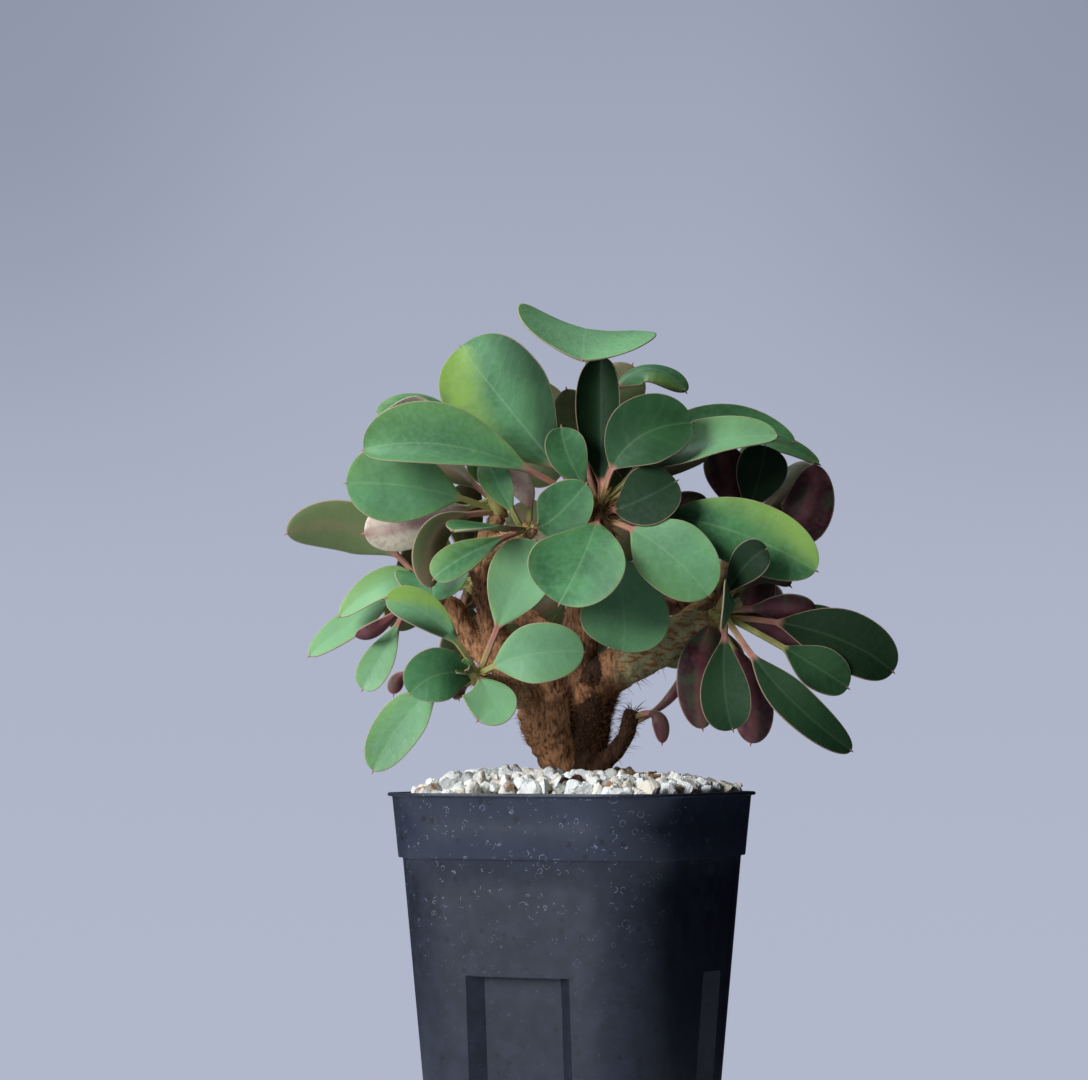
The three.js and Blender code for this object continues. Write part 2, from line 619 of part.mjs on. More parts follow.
// Share of the full half width at `v` along the blade, blunt at the tip.
function outline(v, widest) {
  if (v < widest) return Math.sin((Math.PI / 2) * (v / widest)) ** SIDE_ROUNDNESS;
  return Math.sqrt(Math.max(0, 1 - ((v - widest) / (1 - widest)) ** TIP_ROUNDNESS));
}

// Leaf places along the centreline, closer together at the round tip.
function leafStations(stalk) {
  const stations = [0];
  for (let i = 0; i < LEAF_STEPS; i += 1) {
    const v = Math.sin((Math.PI / 2) * (i / (LEAF_STEPS - 1)));
    stations.push(stalk + (1 - stalk) * v);
  }
  return stations;
}

// One leaf: a stalk and a blade, folded up along its midrib, with both faces
// split into like triangles.
function leafSolid({ root, bend, tip, facing, width, fold, stalk, widest }) {
  const q = BEND_SHARE;
  const control = bend.clone().addScaledVector(root, -((1 - q) ** 2)).addScaledVector(tip, -q * q);
  control.divideScalar(2 * q * (1 - q));
  const curve = new THREE.QuadraticBezierCurve3(root, control, tip);
  const stations = leafStations(stalk);
  const lines = width > BROAD_LEAF ? [-1, -0.5, 0, 0.5, 1] : [-1, 0, 1];
  const points = [];
  for (const s of stations) {
    const along = curve.getTangent(s);
    const normal = facing.clone().addScaledVector(along, -facing.dot(along)).normalize();
    const side = new THREE.Vector3().crossVectors(along, normal);
    const v = Math.max(0, (s - stalk) / (1 - stalk));
    const least = THREE.MathUtils.lerp(PETIOLE_HALF, TIP_HALF, v);
    const half = Math.max(least, (width / 2) * outline(v, widest));
    const thinned = Math.min(1, v / PETIOLE_RUN);
    const thick = THREE.MathUtils.lerp(PETIOLE_THICKNESS, BLADE_THICKNESS, thinned);
    for (const face of [1, -1]) {
      for (const a of lines) {
        const point = curve.getPoint(s).addScaledVector(side, a * half);
        point.addScaledVector(normal, fold * half * a * a + (face * thick) / 2);
        points.push(point);
      }
    }
  }
  return solidFromTriangles(points, leafTriangles(stations.length, lines.length));
}

// Triangles of a leaf whose stations each hold a row of points of the upper
// face and then the same row of the lower.
function leafTriangles(count, across) {
  const triangles = [];
  const quad = (a, b, c, d) => triangles.push([a, b, c], [a, c, d]);
  const mirrored = (a, b, c, d) => triangles.push([a, c, b], [a, d, c]);
  for (let i = 0; i + 1 < count; i += 1) {
    const here = i * 2 * across;
    const next = here + 2 * across;
    for (let k = 0; k + 1 < across; k += 1) {
      quad(here + k, here + k + 1, next + k + 1, next + k);
      mirrored(here + across + k, here + across + k + 1, next + across + k + 1, next + across + k);
    }
    quad(here + across, here, next, next + across);
    quad(here + across - 1, here + 2 * across - 1, next + 2 * across - 1, next + across - 1);
  }
  const last = (count - 1) * 2 * across;
  for (let k = 0; k + 1 < across; k += 1) {
    quad(k + 1, k, across + k, across + k + 1);
    quad(last + k, last + k + 1, last + across + k + 1, last + across + k);
  }
  return triangles;
}

// Leaves of a rosette's far side, turned by the golden angle about its axis.
function farLeaves(name, rosette) {
  if (!rosette.far) return [];
  const { count, length, width, axis, first } = rosette.far;
  const centre = seen(...rosette.centre);
  const way = heading(axis);
  const side = new THREE.Vector3(0, 0, 1).cross(way).normalize();
  const leaves = [];
  for (let i = 0; i < count; i += 1) {
    const around = THREE.MathUtils.degToRad(first) + i * GOLDEN_ANGLE;
    const radial = side.clone().applyAxisAngle(way, around);
    const tilt = THREE.MathUtils.degToRad(FAR_TILT + (FAR_TILT_RANGE * i) / count);
    const reach = length * (FAR_REACH + FAR_REACH_RANGE * ((i * GOLDEN_SHARE) % 1));
    const out = (angle, distance) => centre.clone()
      .addScaledVector(way, Math.cos(angle) * distance)
      .addScaledVector(radial, Math.sin(angle) * distance);
    const facing = way.clone().multiplyScalar(Math.sin(tilt)).addScaledVector(radial, -Math.cos(tilt));
    leaves.push({
      name: `${name}_far_${i + 1}`,
      root: centre.clone(),
      bend: out(tilt - FAR_BEND_TURN, reach * FAR_BEND_REACH),
      tip: out(tilt, reach),
      facing,
      width,
      ...FAR_SHAPE,
    });
  }
  return leaves;
}

// A rosette's leaves, their roots spread up its growing tip.
function leavesOf(name, rosette) {
  const axis = heading(rosette.axis);
  const near = rosette.leaves.map(([title, bend, tip, facing, width, fold, stalk, widest]) => ({
    name: title,
    root: seen(...rosette.centre),
    bend: seen(...bend),
    tip: seen(...tip),
    facing: heading(facing),
    width,
    fold,
    stalk,
    widest,
  }));
  const leaves = [...near, ...farLeaves(name, rosette)];
  const middle = (ROOT_ROWS - 1) / 2;
  leaves.forEach((leaf, i) => leaf.root.addScaledVector(axis, ((i % ROOT_ROWS) - middle) * ROOT_STEP));
  return leaves;
}

function coreSolid(rosette) {
  const centre = seen(...rosette.centre);
  const axis = heading(rosette.axis);
  const side = CORE_FIRST_SIDE.clone().cross(axis).normalize();
  const other = new THREE.Vector3().crossVectors(axis, side);
  const rings = CORE_SHAPE.map(([rise, share]) => {
    const middle = centre.clone().addScaledVector(axis, rise);
    return stemRing(middle, side, other, CORE_RADIUS * share, 0);
  });
  return loft(rings);
}

function rosetteSolid(name, rosette, stems) {
  const leaves = leavesOf(name, rosette).map(leafSolid);
  return mainBody(fuse([coreSolid(rosette), ...leaves]).subtract(stems));
}

const stemsGrown = fuse(stemTubes(STEM_CLEARANCE));
const rosetteSolids = Object.entries(ROSETTES)
  .map(([name, rosette]) => [name, rosetteSolid(name, rosette, stemsGrown)]);
const allLeaves = fuse(rosetteSolids.map(([, solid]) => solid));

// A three-sided bristle standing on `base`.
function bristle(base, way, length, girth) {
  const geometry = new THREE.ConeGeometry(girth, length, 3);
  const upright = new THREE.Vector3(0, 1, 0);
  geometry.translate(0, length / 2, 0);
  geometry.applyQuaternion(new THREE.Quaternion().setFromUnitVectors(upright, way));
  geometry.translate(base.x, base.y, base.z);
  return solidFromGeometry(geometry);
}

// Bristles set at random on a stem, where no leaf or gravel is in the way.
function bristlesOn(knots, count, length, random) {
  const places = knots.map(([across, up, near]) => seen(across, up, near));
  const curve = new THREE.CatmullRomCurve3(places, false, 'centripetal');
  const bristles = [];
  for (let i = 0; i < count; i += 1) {
    const t = pick(random, BRISTLE_SPAN);
    const along = curve.getTangent(t);
    const anyWay = new THREE.Vector3(random() - 0.5, random() - 0.5, random() - 0.5);
    const out = anyWay.cross(along).normalize();
    const base = curve.getPoint(t).addScaledVector(out, knotRadius(knots, t) - BRISTLE_ROOT);
    const way = out.clone().addScaledVector(along, BRISTLE_LEAN).normalize();
    const reach = BRISTLE_ROOT + length * pick(random, BRISTLE_LENGTH);
    const room = bristle(base, way, reach + BRISTLE_CLEAR, BRISTLE_CLEAR_GIRTH);
    const clear = base.z > BRISTLE_FLOOR && room.intersect(allLeaves).isEmpty();
    if (clear) bristles.push(bristle(base, way, reach, BRISTLE_GIRTH));
  }
  return bristles;
}

function stemSolid() {
  const random = seeded(7);
  const bristles = [
    ...bristlesOn(ROSETTES.crown.route, 16, 4, random),
    ...bristlesOn(ROSETTES.right.route, 9, 3.5, random),
    ...bristlesOn(TRUNK[1], 8, 3.2, random),
    ...bristlesOn(ROSETTES.left_low.route, 6, 3.2, random),
    ...bristlesOn(ROSETTES.stub.route, 6, 2.4, random),
  ];
  return mainBody(fuse([...stemTubes(0), ...bristles]));
}

// A piece of litter, half sunk in the pumice and grown by `spare`.
function litterSolid({ places, radius }, spare) {
  const points = places.map(([x, near]) => {
    const lift = radius - LITTER_SINK;
    return new THREE.Vector3(x, -near, heapTop(x, -near) + lift);
  });
  const curve = new THREE.CatmullRomCurve3(points, false, 'centripetal');
  const rings = [];
  for (let i = 0; i <= LITTER_STEPS; i += 1) {
    const along = curve.getTangent(i / LITTER_STEPS);
    const side = new THREE.Vector3(0, 0, 1).cross(along).normalize();
    const other = new THREE.Vector3().crossVectors(along, side);
    rings.push(stemRing(curve.getPoint(i / LITTER_STEPS), side, other, radius + spare, i));
  }
  return loft(rings);
}

const litterRoom = fuse([litterSolid(DRY_ROOT, CLEARANCE), litterSolid(DRY_TWIG, CLEARANCE)]);

const plant = new THREE.Group();

const potGroup = new THREE.Group();
potGroup.rotation.z = POT_TURN;
potGroup.add(meshOf('pot', potSolid(), FINISH.pot));
plant.add(potGroup);
plant.add(meshOf('soil', soilSolid(stemsGrown), FINISH.soil));
plant.add(meshOf('pumice_gravel', gravelSolid(stemsGrown, litterRoom), FINISH.pumice));
plant.add(meshOf('dry_root', litterSolid(DRY_ROOT, 0), FINISH.litter));
plant.add(meshOf('dry_twig', litterSolid(DRY_TWIG, 0), FINISH.litter));
plant.add(meshOf('trunk_and_branches', stemSolid(), FINISH.bark));
for (const [name, solid] of rosetteSolids) {
  plant.add(meshOf(`rosette_${name}`, solid, FINISH.leaf));
}

export default plant;
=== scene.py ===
"""Finish of a potted jade-leaved euphorbia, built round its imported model.

Sizes are millimetres until a mesh is made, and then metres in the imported
model's frame: +Z up, +X to the right and -Y towards the camera. Pot, gravel,
trunk and leaf rosettes are fine meshes from the same readings as the solids
that they stand for.
"""
import logging
import math
from dataclasses import dataclass, field
from enum import Enum

import bmesh
import bpy
import numpy as np
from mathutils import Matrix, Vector, noise


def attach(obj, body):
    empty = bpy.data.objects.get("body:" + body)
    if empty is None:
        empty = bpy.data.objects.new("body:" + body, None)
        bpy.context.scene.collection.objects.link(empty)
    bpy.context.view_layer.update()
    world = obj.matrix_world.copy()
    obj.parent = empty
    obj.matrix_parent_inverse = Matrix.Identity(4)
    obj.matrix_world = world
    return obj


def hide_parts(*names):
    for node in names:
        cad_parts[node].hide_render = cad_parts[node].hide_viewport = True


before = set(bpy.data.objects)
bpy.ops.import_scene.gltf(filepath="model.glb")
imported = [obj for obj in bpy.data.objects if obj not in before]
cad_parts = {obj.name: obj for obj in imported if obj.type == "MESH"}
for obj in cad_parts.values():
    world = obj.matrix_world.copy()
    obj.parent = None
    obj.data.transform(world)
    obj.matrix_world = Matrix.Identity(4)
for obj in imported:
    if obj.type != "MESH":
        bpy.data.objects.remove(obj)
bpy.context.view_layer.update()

LOG = logging.getLogger("euphorbia")
MM = 0.001
BODY = "root"

POT_HEIGHT = 105.0
POT_TURN = math.radians(-24.3)
EYE = np.array([-8.5, -1027.0, POT_HEIGHT + 13.6])

Point = tuple[float, float, float]
Knot = tuple[float, float, float, float]
Faces = list[tuple[int, ...]]
Socket = bpy.types.NodeSocket


def seen(across: float, up: float, near: float) -> np.ndarray:
    """Places a reading of the photograph in the frame.

    Args:
        across: millimetres to the right of the pot's axis, as seen.
        up: millimetres above the pot's rim, as seen.
        near: millimetres from the axis towards the eye, along the line of sight.

    Returns:
        The point, in millimetres.
    """
    flat = np.array([across, 0.0, POT_HEIGHT + up])
    return flat + (EYE - flat) * (near / -EYE[1])


def unit(vector: np.ndarray) -> np.ndarray:
    """Returns the vector, or each row of an array of them, at length one."""
    return vector / np.linalg.norm(vector, axis=-1, keepdims=True)


def heading(right: float, up: float, near: float) -> np.ndarray:
    """Returns the unit direction that goes right, up and towards the eye by these shares."""
    return unit(np.array([right, -near, up], float))


def full_turn(count: int) -> np.ndarray:
    """Returns this many angles, spaced evenly round a full turn."""
    return np.linspace(0, 2 * np.pi, count, endpoint=False)


def sides_of(axis: np.ndarray, hint: Point) -> tuple[np.ndarray, np.ndarray]:
    """Returns two unit directions square to an axis, or to each row of one, and to each other."""
    side = unit(np.cross(axis, hint))
    return side, np.cross(axis, side)


def turned(side: np.ndarray, other: np.ndarray, angles: np.ndarray | float) -> np.ndarray:
    """Returns the unit directions at these angles from one side towards the other."""
    return np.cos(angles)[..., None] * side + np.sin(angles)[..., None] * other


def tube_rings(points: np.ndarray, tangents: np.ndarray, hint: Point, girth: np.ndarray,
               sides: int) -> np.ndarray:
    """Returns rings of points round a line.

    Args:
        points: the line's points, one a row.
        tangents: its unit direction at each point.
        hint: a direction well off the line, which says where the rings start.
        girth: the radius, with a row for each point and one column, or one for each side.
        sides: how many points a ring has.

    Returns:
        The rings, one for each point of the line.
    """
    side, other = sides_of(tangents, hint)
    angles = full_turn(sides)
    return (points[:, None] + side[:, None] * (np.cos(angles) * girth)[..., None]
            + other[:, None] * (np.sin(angles) * girth)[..., None])


def with_pot(places: np.ndarray) -> np.ndarray:
    """Turns one or more rows of x and y from the pot's own axes into the frame's."""
    c, s = math.cos(POT_TURN), math.sin(POT_TURN)
    return places @ np.array([[c, s], [-s, c]])


def linear(hex_colour: str) -> tuple[float, float, float, float]:
    """Turns an sRGB hex colour to linear light.

    Args:
        hex_colour: the colour, such as "#5f9068".

    Returns:
        Its red, green, blue and alpha.
    """
    parts = [int(hex_colour[i:i + 2], 16) / 255 for i in (1, 3, 5)]
    red, green, blue = (c / 12.92 if c <= 0.04045 else ((c + 0.055) / 1.055) ** 2.4 for c in parts)
    return red, green, blue, 1.0


def across_mm(size_mm: float) -> float:
    """Returns the texture scale at which one pattern cell of a metre grid is this many millimetres."""
    return 1.0 / (size_mm * MM)


@dataclass
class Draft:
    """A mesh being put together from patches, in millimetres."""

    points: list[np.ndarray] = field(default_factory=list)
    faces: Faces = field(default_factory=list)
    values: dict[str, list[np.ndarray]] = field(default_factory=dict)
    count: int = 0

    def add(self, points: np.ndarray, faces: Faces, **values: np.ndarray | float) -> None:
        """Adds a patch.

        Args:
            points: its points, one a row.
            faces: its faces, as rows of that array.
            values: a number for each point, or one for all, by attribute name.
        """
        self.points.append(points)
        self.faces += [tuple(i + self.count for i in face) for face in faces]
        for key, value in values.items():
            self.values.setdefault(key, []).append(np.broadcast_to(np.asarray(value, float), len(points)))
        self.count += len(points)

    def make(self, name: str, material: bpy.types.Material, smooth: bool = True) -> bpy.types.Object:
        """Makes the object.

        Args:
            name: its name.
            material: its finish.
            smooth: whether its faces are shaded smooth.

        Returns:
            The object, linked to the scene.
        """
        mesh = bpy.data.meshes.new(name)
        mesh.from_pydata((np.concatenate(self.points) * MM).tolist(), [], self.faces)
        for key, parts in self.values.items():
            attribute = mesh.attributes.new(key, "FLOAT", "POINT")
            attribute.data.foreach_set("value", np.concatenate(parts).astype(np.float32))
        mesh.materials.append(material)
        mesh.polygons.foreach_set("use_smooth", [smooth] * len(mesh.polygons))
        mesh.update()
        piece = bpy.data.objects.new(name, mesh)
        bpy.context.scene.collection.objects.link(piece)
        return piece


def ring_faces(rings: int, sides: int, closed: bool = True) -> Faces:
    """Lists the quads between equal rings of points, with a fan of the end rings if closed.

    Args:
        rings: how many rings there are.
        sides: how many points each has.
        closed: whether the end rings are filled.

    Returns:
        The faces.
    """
    faces = []
    for i in range(rings - 1):
        low = i * sides
        for j in range(sides):
            k = (j + 1) % sides
            faces.append((low + j, low + k, low + sides + k, low + sides + j))
    if closed:
        top = (rings - 1) * sides
        faces.append(tuple(reversed(range(sides))))
        faces.append(tuple(top + j for j in range(sides)))
    return faces


def put_in_frame(piece: bpy.types.Object, slot: str, *nodes: str) -> None:
    """Rides a piece on the body, hides the nodes that it stands for, and reports it.

    Args:
        piece: the finished object.
        slot: not used.
        nodes: the nodes that it replaces.
    """
    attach(piece, BODY)
    if nodes:
        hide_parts(*nodes)
    LOG.info("%s: %d faces", piece.name, len(piece.data.polygons))


def add_node(tree: bpy.types.NodeTree, kind: str, settings: dict | None = None,
             inputs: dict | None = None) -> bpy.types.Node:
    """Adds a node with its settings, values and links.

    Args:
        tree: the node tree.
        kind: the node's type name.
        settings: properties by name.
        inputs: by socket name or index, an output socket to link, a value, or an sRGB hex colour.

    Returns:
        The node.
    """
    node = tree.nodes.new(kind)
    for key, value in (settings or {}).items():
        setattr(node, key, value)
    for key, value in (inputs or {}).items():
        if isinstance(value, Socket):
            tree.links.new(value, node.inputs[key])
        else:
            node.inputs[key].default_value = linear(value) if isinstance(value, str) else value
    return node


class Step(Enum):
    """Node set-ups that the finishes share: the node, its settings, its inputs in order, its output."""

    EASE = ("ShaderNodeMapRange", {"interpolation_type": "SMOOTHSTEP"},
            ("Value", "From Min", "From Max", "To Min", "To Max"), 0)
    MIX = ("ShaderNodeMix", {"data_type": "RGBA"}, (0, 6, 7), 2)
    BUMP = ("ShaderNodeBump", {}, ("Height", "Distance", "Normal"), 0)
    PLUS = ("ShaderNodeMath", {"operation": "ADD"}, (0, 1), 0)
    MINUS = ("ShaderNodeMath", {"operation": "SUBTRACT"}, (0, 1), 0)
    TIMES = ("ShaderNodeMath", {"operation": "MULTIPLY"}, (0, 1), 0)
    RAISED = ("ShaderNodeMath", {"operation": "POWER"}, (0, 1), 0)
    LARGER = ("ShaderNodeMath", {"operation": "MAXIMUM"}, (0, 1), 0)
    UNSIGNED = ("ShaderNodeMath", {"operation": "ABSOLUTE"}, (0,), 0)
    REST = ("ShaderNodeMath", {"operation": "FRACT"}, (0,), 0)


EASE, MIX, BUMP, PLUS, MINUS, TIMES, RAISED, LARGER, UNSIGNED, REST = Step


@dataclass
class Palette:
    """Node building for one material, with the patterns that the finishes share."""

    tree: bpy.types.NodeTree

    def __call__(self, step: Step, *values: Socket | float | str) -> Socket:
        """Adds one of the shared node set-ups.

        Args:
            step: which one.
            values: its inputs in order. Those left out keep the node's own values.

        Returns:
            Its output.
        """
        kind, settings, names, output = step.value
        return add_node(self.tree, kind, settings, dict(zip(names, values))).outputs[output]

    def place(self) -> Socket:
        """Returns the object's own coordinates, in metres."""
        return add_node(self.tree, "ShaderNodeTexCoord").outputs["Object"]

    def value(self, name: str) -> Socket:
        """Returns a mesh attribute's number."""
        return add_node(self.tree, "ShaderNodeAttribute", {"attribute_name": name}).outputs["Fac"]

    def speckle(self, size_mm: float, detail: float = 3.0, shift: Socket | None = None,
                squash: tuple[float, float, float] | None = None) -> Socket:
        """Returns cloudy noise of this size.

        Args:
            size_mm: how far apart its clouds stand.
            detail: how many finer octaves it has.
            shift: a socket whose number moves the pattern.
            squash: factors on the coordinates; one below 1 draws the pattern out along that axis.

        Returns:
            The noise, from 0 to 1.
        """
        settings = {"noise_dimensions": "4D" if shift else "3D"}
        place = self.place()
        if squash:
            inputs = {0: place, 1: squash}
            place = add_node(self.tree, "ShaderNodeVectorMath", {"operation": "MULTIPLY"}, inputs).outputs[0]
        inputs = {"Vector": place, "Scale": across_mm(size_mm), "Detail": detail}
        if shift:
            inputs["W"] = shift
        return add_node(self.tree, "ShaderNodeTexNoise", settings, inputs).outputs["Fac"]

    def wavering(self, size_mm: float, by_mm: float) -> Socket:
        """Returns the coordinates pushed about by noise.

        Args:
            size_mm: how far apart the noise's clouds stand.
            by_mm: how far it pushes at most.

        Returns:
            The coordinates, in metres.
        """
        inputs = {"Vector": self.place(), "Scale": across_mm(size_mm)}
        push = add_node(self.tree, "ShaderNodeTexNoise", {}, inputs)
        moved = add_node(self.tree, "ShaderNodeVectorMath", {"operation": "MULTIPLY_ADD"},
                         {0: push.outputs["Color"], 1: (by_mm * MM,) * 3, 2: self.place()})
        return moved.outputs[0]


@dataclass(frozen=True)
class Finish:
    """A material: its name says what it is and how its surface was made."""

    name: str
    roughness: float = 0.5
    level: float = 0.5

    def material(self) -> bpy.types.Material:
        """Makes the material, with the colour and relief that the finish paints.

        Returns:
            The material.
        """
        made = bpy.data.materials.new(self.name)
        made.use_nodes = True
        tree = made.node_tree
        surface = tree.nodes["Principled BSDF"]
        surface.inputs["Roughness"].default_value = self.roughness
        surface.inputs["Specular IOR Level"].default_value = self.level
        self.paint(Palette(tree), surface)
        return made

    def paint(self, palette: Palette, surface: bpy.types.Node) -> None:
        """Links the finish's patterns to the surface.

        Args:
            palette: the material's pattern builder.
            surface: its Principled shader.
        """
        raise NotImplementedError


@dataclass(frozen=True)
class LeafCuticle(Finish):
    """Living leaf with a waxed cuticle, as grown: satin green with a faint blue bloom, soft veins and
    a thin tan edge above, and purple or olive with a pink band beneath; some blades carry painted shade and
    some painted light."""

    name: str = "living_leaf_waxed_cuticle"
    roughness: float = 0.48
    level: float = 0.22
    dark: str = "#0f280d"
    painted_light_green: str = "#8fc08a"
    deep: str = "#35633a"
    jade: str = "#4b824d"
    ripe: str = "#84a648"
    bloom: str = "#7dab8b"
    rib: str = "#86aa78"
    edge: str = "#b3937b"
    purple: str = "#3f1b23"
    olive: str = "#5f6e42"
    blush_with_painted_light: str = "#f5dec4"
    pink: str = "#b0696a"
    stalk_low: str = "#a9a15c"
    stalk_high: str = "#a97362"
    stalk_green: str = "#8d9a4f"
    mottle_mm: float = 1.3
    cloud_mm: float = 13.0
    blotch_mm: float = 9.0
    dimple_mm: float = 6.0
    grain_mm: float = 0.6
    edge_glow_mm: float = 3.5
    band_mm: float = 2.6

    def paint(self, palette: Palette, surface: bpy.types.Node) -> None:
        """Paints the two faces, the stalk and the edge.

        Args:
            palette: the material's pattern builder.
            surface: its Principled shader.
        """
        seed = palette.value("seed")
        mottle = palette.speckle(self.mottle_mm, 4.0, seed)
        veins = self.veins(palette)
        blade = palette(MIX, palette.value("upper"), self.below(palette, seed, mottle),
                            self.above(palette, seed, mottle, veins))
        rim = palette(EASE, palette.value("edge_mm"), 0.08, 0.26, 0.55, 0.0)
        blade = palette(MIX, rim, blade, self.edge)
        along = palette.value("along")
        stalk = palette(MIX, palette(EASE, along, -1.0, -0.1), self.stalk_low, self.stalk_high)
        stalk = palette(MIX, palette(EASE, seed, 12.0, 13.0, 0.0, 0.7), stalk, self.stalk_green)
        stalk = palette(MIX, palette(EASE, mottle, 0.4, 0.7, 0.0, 0.3), stalk, self.olive)
        blade = palette(MIX, palette(EASE, along, 0.0, 0.07, 1.0, 0.0), blade, stalk)
        palette.tree.links.new(blade, surface.inputs["Base Color"])
        # The veins stand 0.02 mm proud. The cuticle's grain is finer than this and is drawn coarse to show.
        normal = palette(BUMP, palette.speckle(self.dimple_mm, 2.0, seed), 0.22 * MM)
        normal = palette(BUMP, veins, 0.02 * MM, normal)
        normal = palette(BUMP, palette.speckle(self.grain_mm, 2.0), 0.025 * MM, normal)
        palette.tree.links.new(normal, surface.inputs["Normal"])
        sheen = palette(EASE, mottle, 0.3, 0.7, self.roughness - 0.08, self.roughness + 0.1)
        dull = palette(EASE, palette.value("ripe"), -1.0, 0.0, 0.22, 0.0)
        palette.tree.links.new(palette(PLUS, sheen, dull), surface.inputs["Roughness"])
        # Light goes about a millimetre into the blade, green the deepest.
        surface.inputs["Subsurface Weight"].default_value = 0.08
        surface.inputs["Subsurface Radius"].default_value = (0.5, 1.0, 0.2)
        surface.inputs["Subsurface Scale"].default_value = MM

    def veins(self, palette: Palette) -> Socket:
        """Returns soft wavering stripes at whole numbers of the mesh's vein count.

        Args:
            palette: the material's pattern builder.

        Returns:
            The stripes, from 0 to 1.
        """
        wander = palette(EASE, palette.speckle(5.0, 3.0), 0.2, 0.8, 0.0, 0.9)
        shifted = palette(PLUS, palette.value("vein"), wander)
        away = palette(UNSIGNED, palette(MINUS, palette(REST, shifted), 0.5))
        return palette(EASE, away, 0.22, 0.5)

    def above(self, palette: Palette, seed: Socket, mottle: Socket, veins: Socket) -> Socket:
        """Returns the upper face's colour.

        Args:
            palette: the material's pattern builder.
            seed: the leaf's own number.
            mottle: the fine noise.
            veins: the side veins.

        Returns:
            The colour.
        """
        cloud = palette.speckle(self.cloud_mm, 2.0, seed)
        ripe = palette.value("ripe")
        colour = palette(MIX, palette(EASE, cloud, 0.3, 0.7), self.deep, self.jade)
        # Painted light: pale mixes the blade towards a lighter green.
        colour = palette(MIX, palette.value("pale"), colour, self.painted_light_green)
        # Painted shade: a ripe value below zero mixes the blade towards dark green.
        colour = palette(MIX, palette(EASE, ripe, -1.0, 0.0, 1.0, 0.0), colour, self.dark)
        # The green turns lighter towards the edge, and yellow where the sun ripened it.
        glow = palette(TIMES, palette(EASE, palette.value("edge_mm"), 0.0, self.edge_glow_mm, 0.16, 0.0),
                       palette(EASE, ripe, -0.5, 0.1))
        colour = palette(MIX, glow, colour, self.ripe)
        patch = palette(TIMES, palette(EASE, ripe, 0.0, 0.5), palette(EASE, cloud, 0.25, 0.62, 0.4, 1.0))
        colour = palette(MIX, patch, colour, self.ripe)
        # Blades in deep painted shade and yellowed ones carry little bloom, and those in painted shade faint
        # veins.
        waxed = palette(TIMES, palette(EASE, ripe, -0.6, 0.0, 0.05, 1.0),
                        palette(EASE, ripe, 0.2, 0.6, 1.0, 0.2))
        frosted = palette(TIMES, palette(EASE, mottle, 0.36, 0.7, 0.0, 0.16), waxed)
        colour = palette(MIX, frosted, colour, self.bloom)
        faint = palette(TIMES, veins, palette(EASE, ripe, -1.0, 0.0, 0.0, 0.06))
        colour = palette(MIX, faint, colour, self.rib)
        rib = palette(TIMES, palette(EASE, palette.value("rib_mm"), 0.12, 0.5, 0.26, 0.0),
                      palette(EASE, ripe, -0.9, 0.0, 0.2, 1.0))
        return palette(MIX, rib, colour, palette(MIX, palette(EASE, ripe, 0.3, 0.6), self.rib, self.deep))

    def below(self, palette: Palette, seed: Socket, mottle: Socket) -> Socket:
        """Returns the lower face's colour.

        Args:
            palette: the material's pattern builder.
            seed: the leaf's own number.
            mottle: the fine noise.

        Returns:
            The colour.
        """
        blotch = palette.speckle(self.blotch_mm, 3.0, seed)
        purple, banded = palette.value("purple"), palette.value("banded")
        colour = palette(MIX, purple, self.olive, self.purple)
        # Purple blades keep patches of green and of wine red.
        patch = palette(TIMES, palette(EASE, blotch, 0.48, 0.7, 0.0, 0.4), purple)
        colour = palette(MIX, patch, colour, self.deep)
        patch = palette(TIMES, palette(EASE, blotch, 0.3, 0.5, 0.35, 0.0), purple)
        colour = palette(MIX, patch, colour, self.pink)
        # Banded undersides are pale pink-cream, lightened further with painted light.
        colour = palette(MIX, palette(EASE, banded, 0.5, 1.0, 0.0, 0.92), colour, self.blush_with_painted_light)
        band = palette(TIMES, palette(EASE, palette.value("rib_mm"), 0.5, self.band_mm, 0.7, 0.0),
                       palette(EASE, blotch, 0.35, 0.6, 0.4, 1.0))
        colour = palette(MIX, palette(TIMES, band, banded), colour, self.pink)
        return palette(MIX, palette(EASE, mottle, 0.45, 0.75, 0.0, 0.3), colour, self.deep)


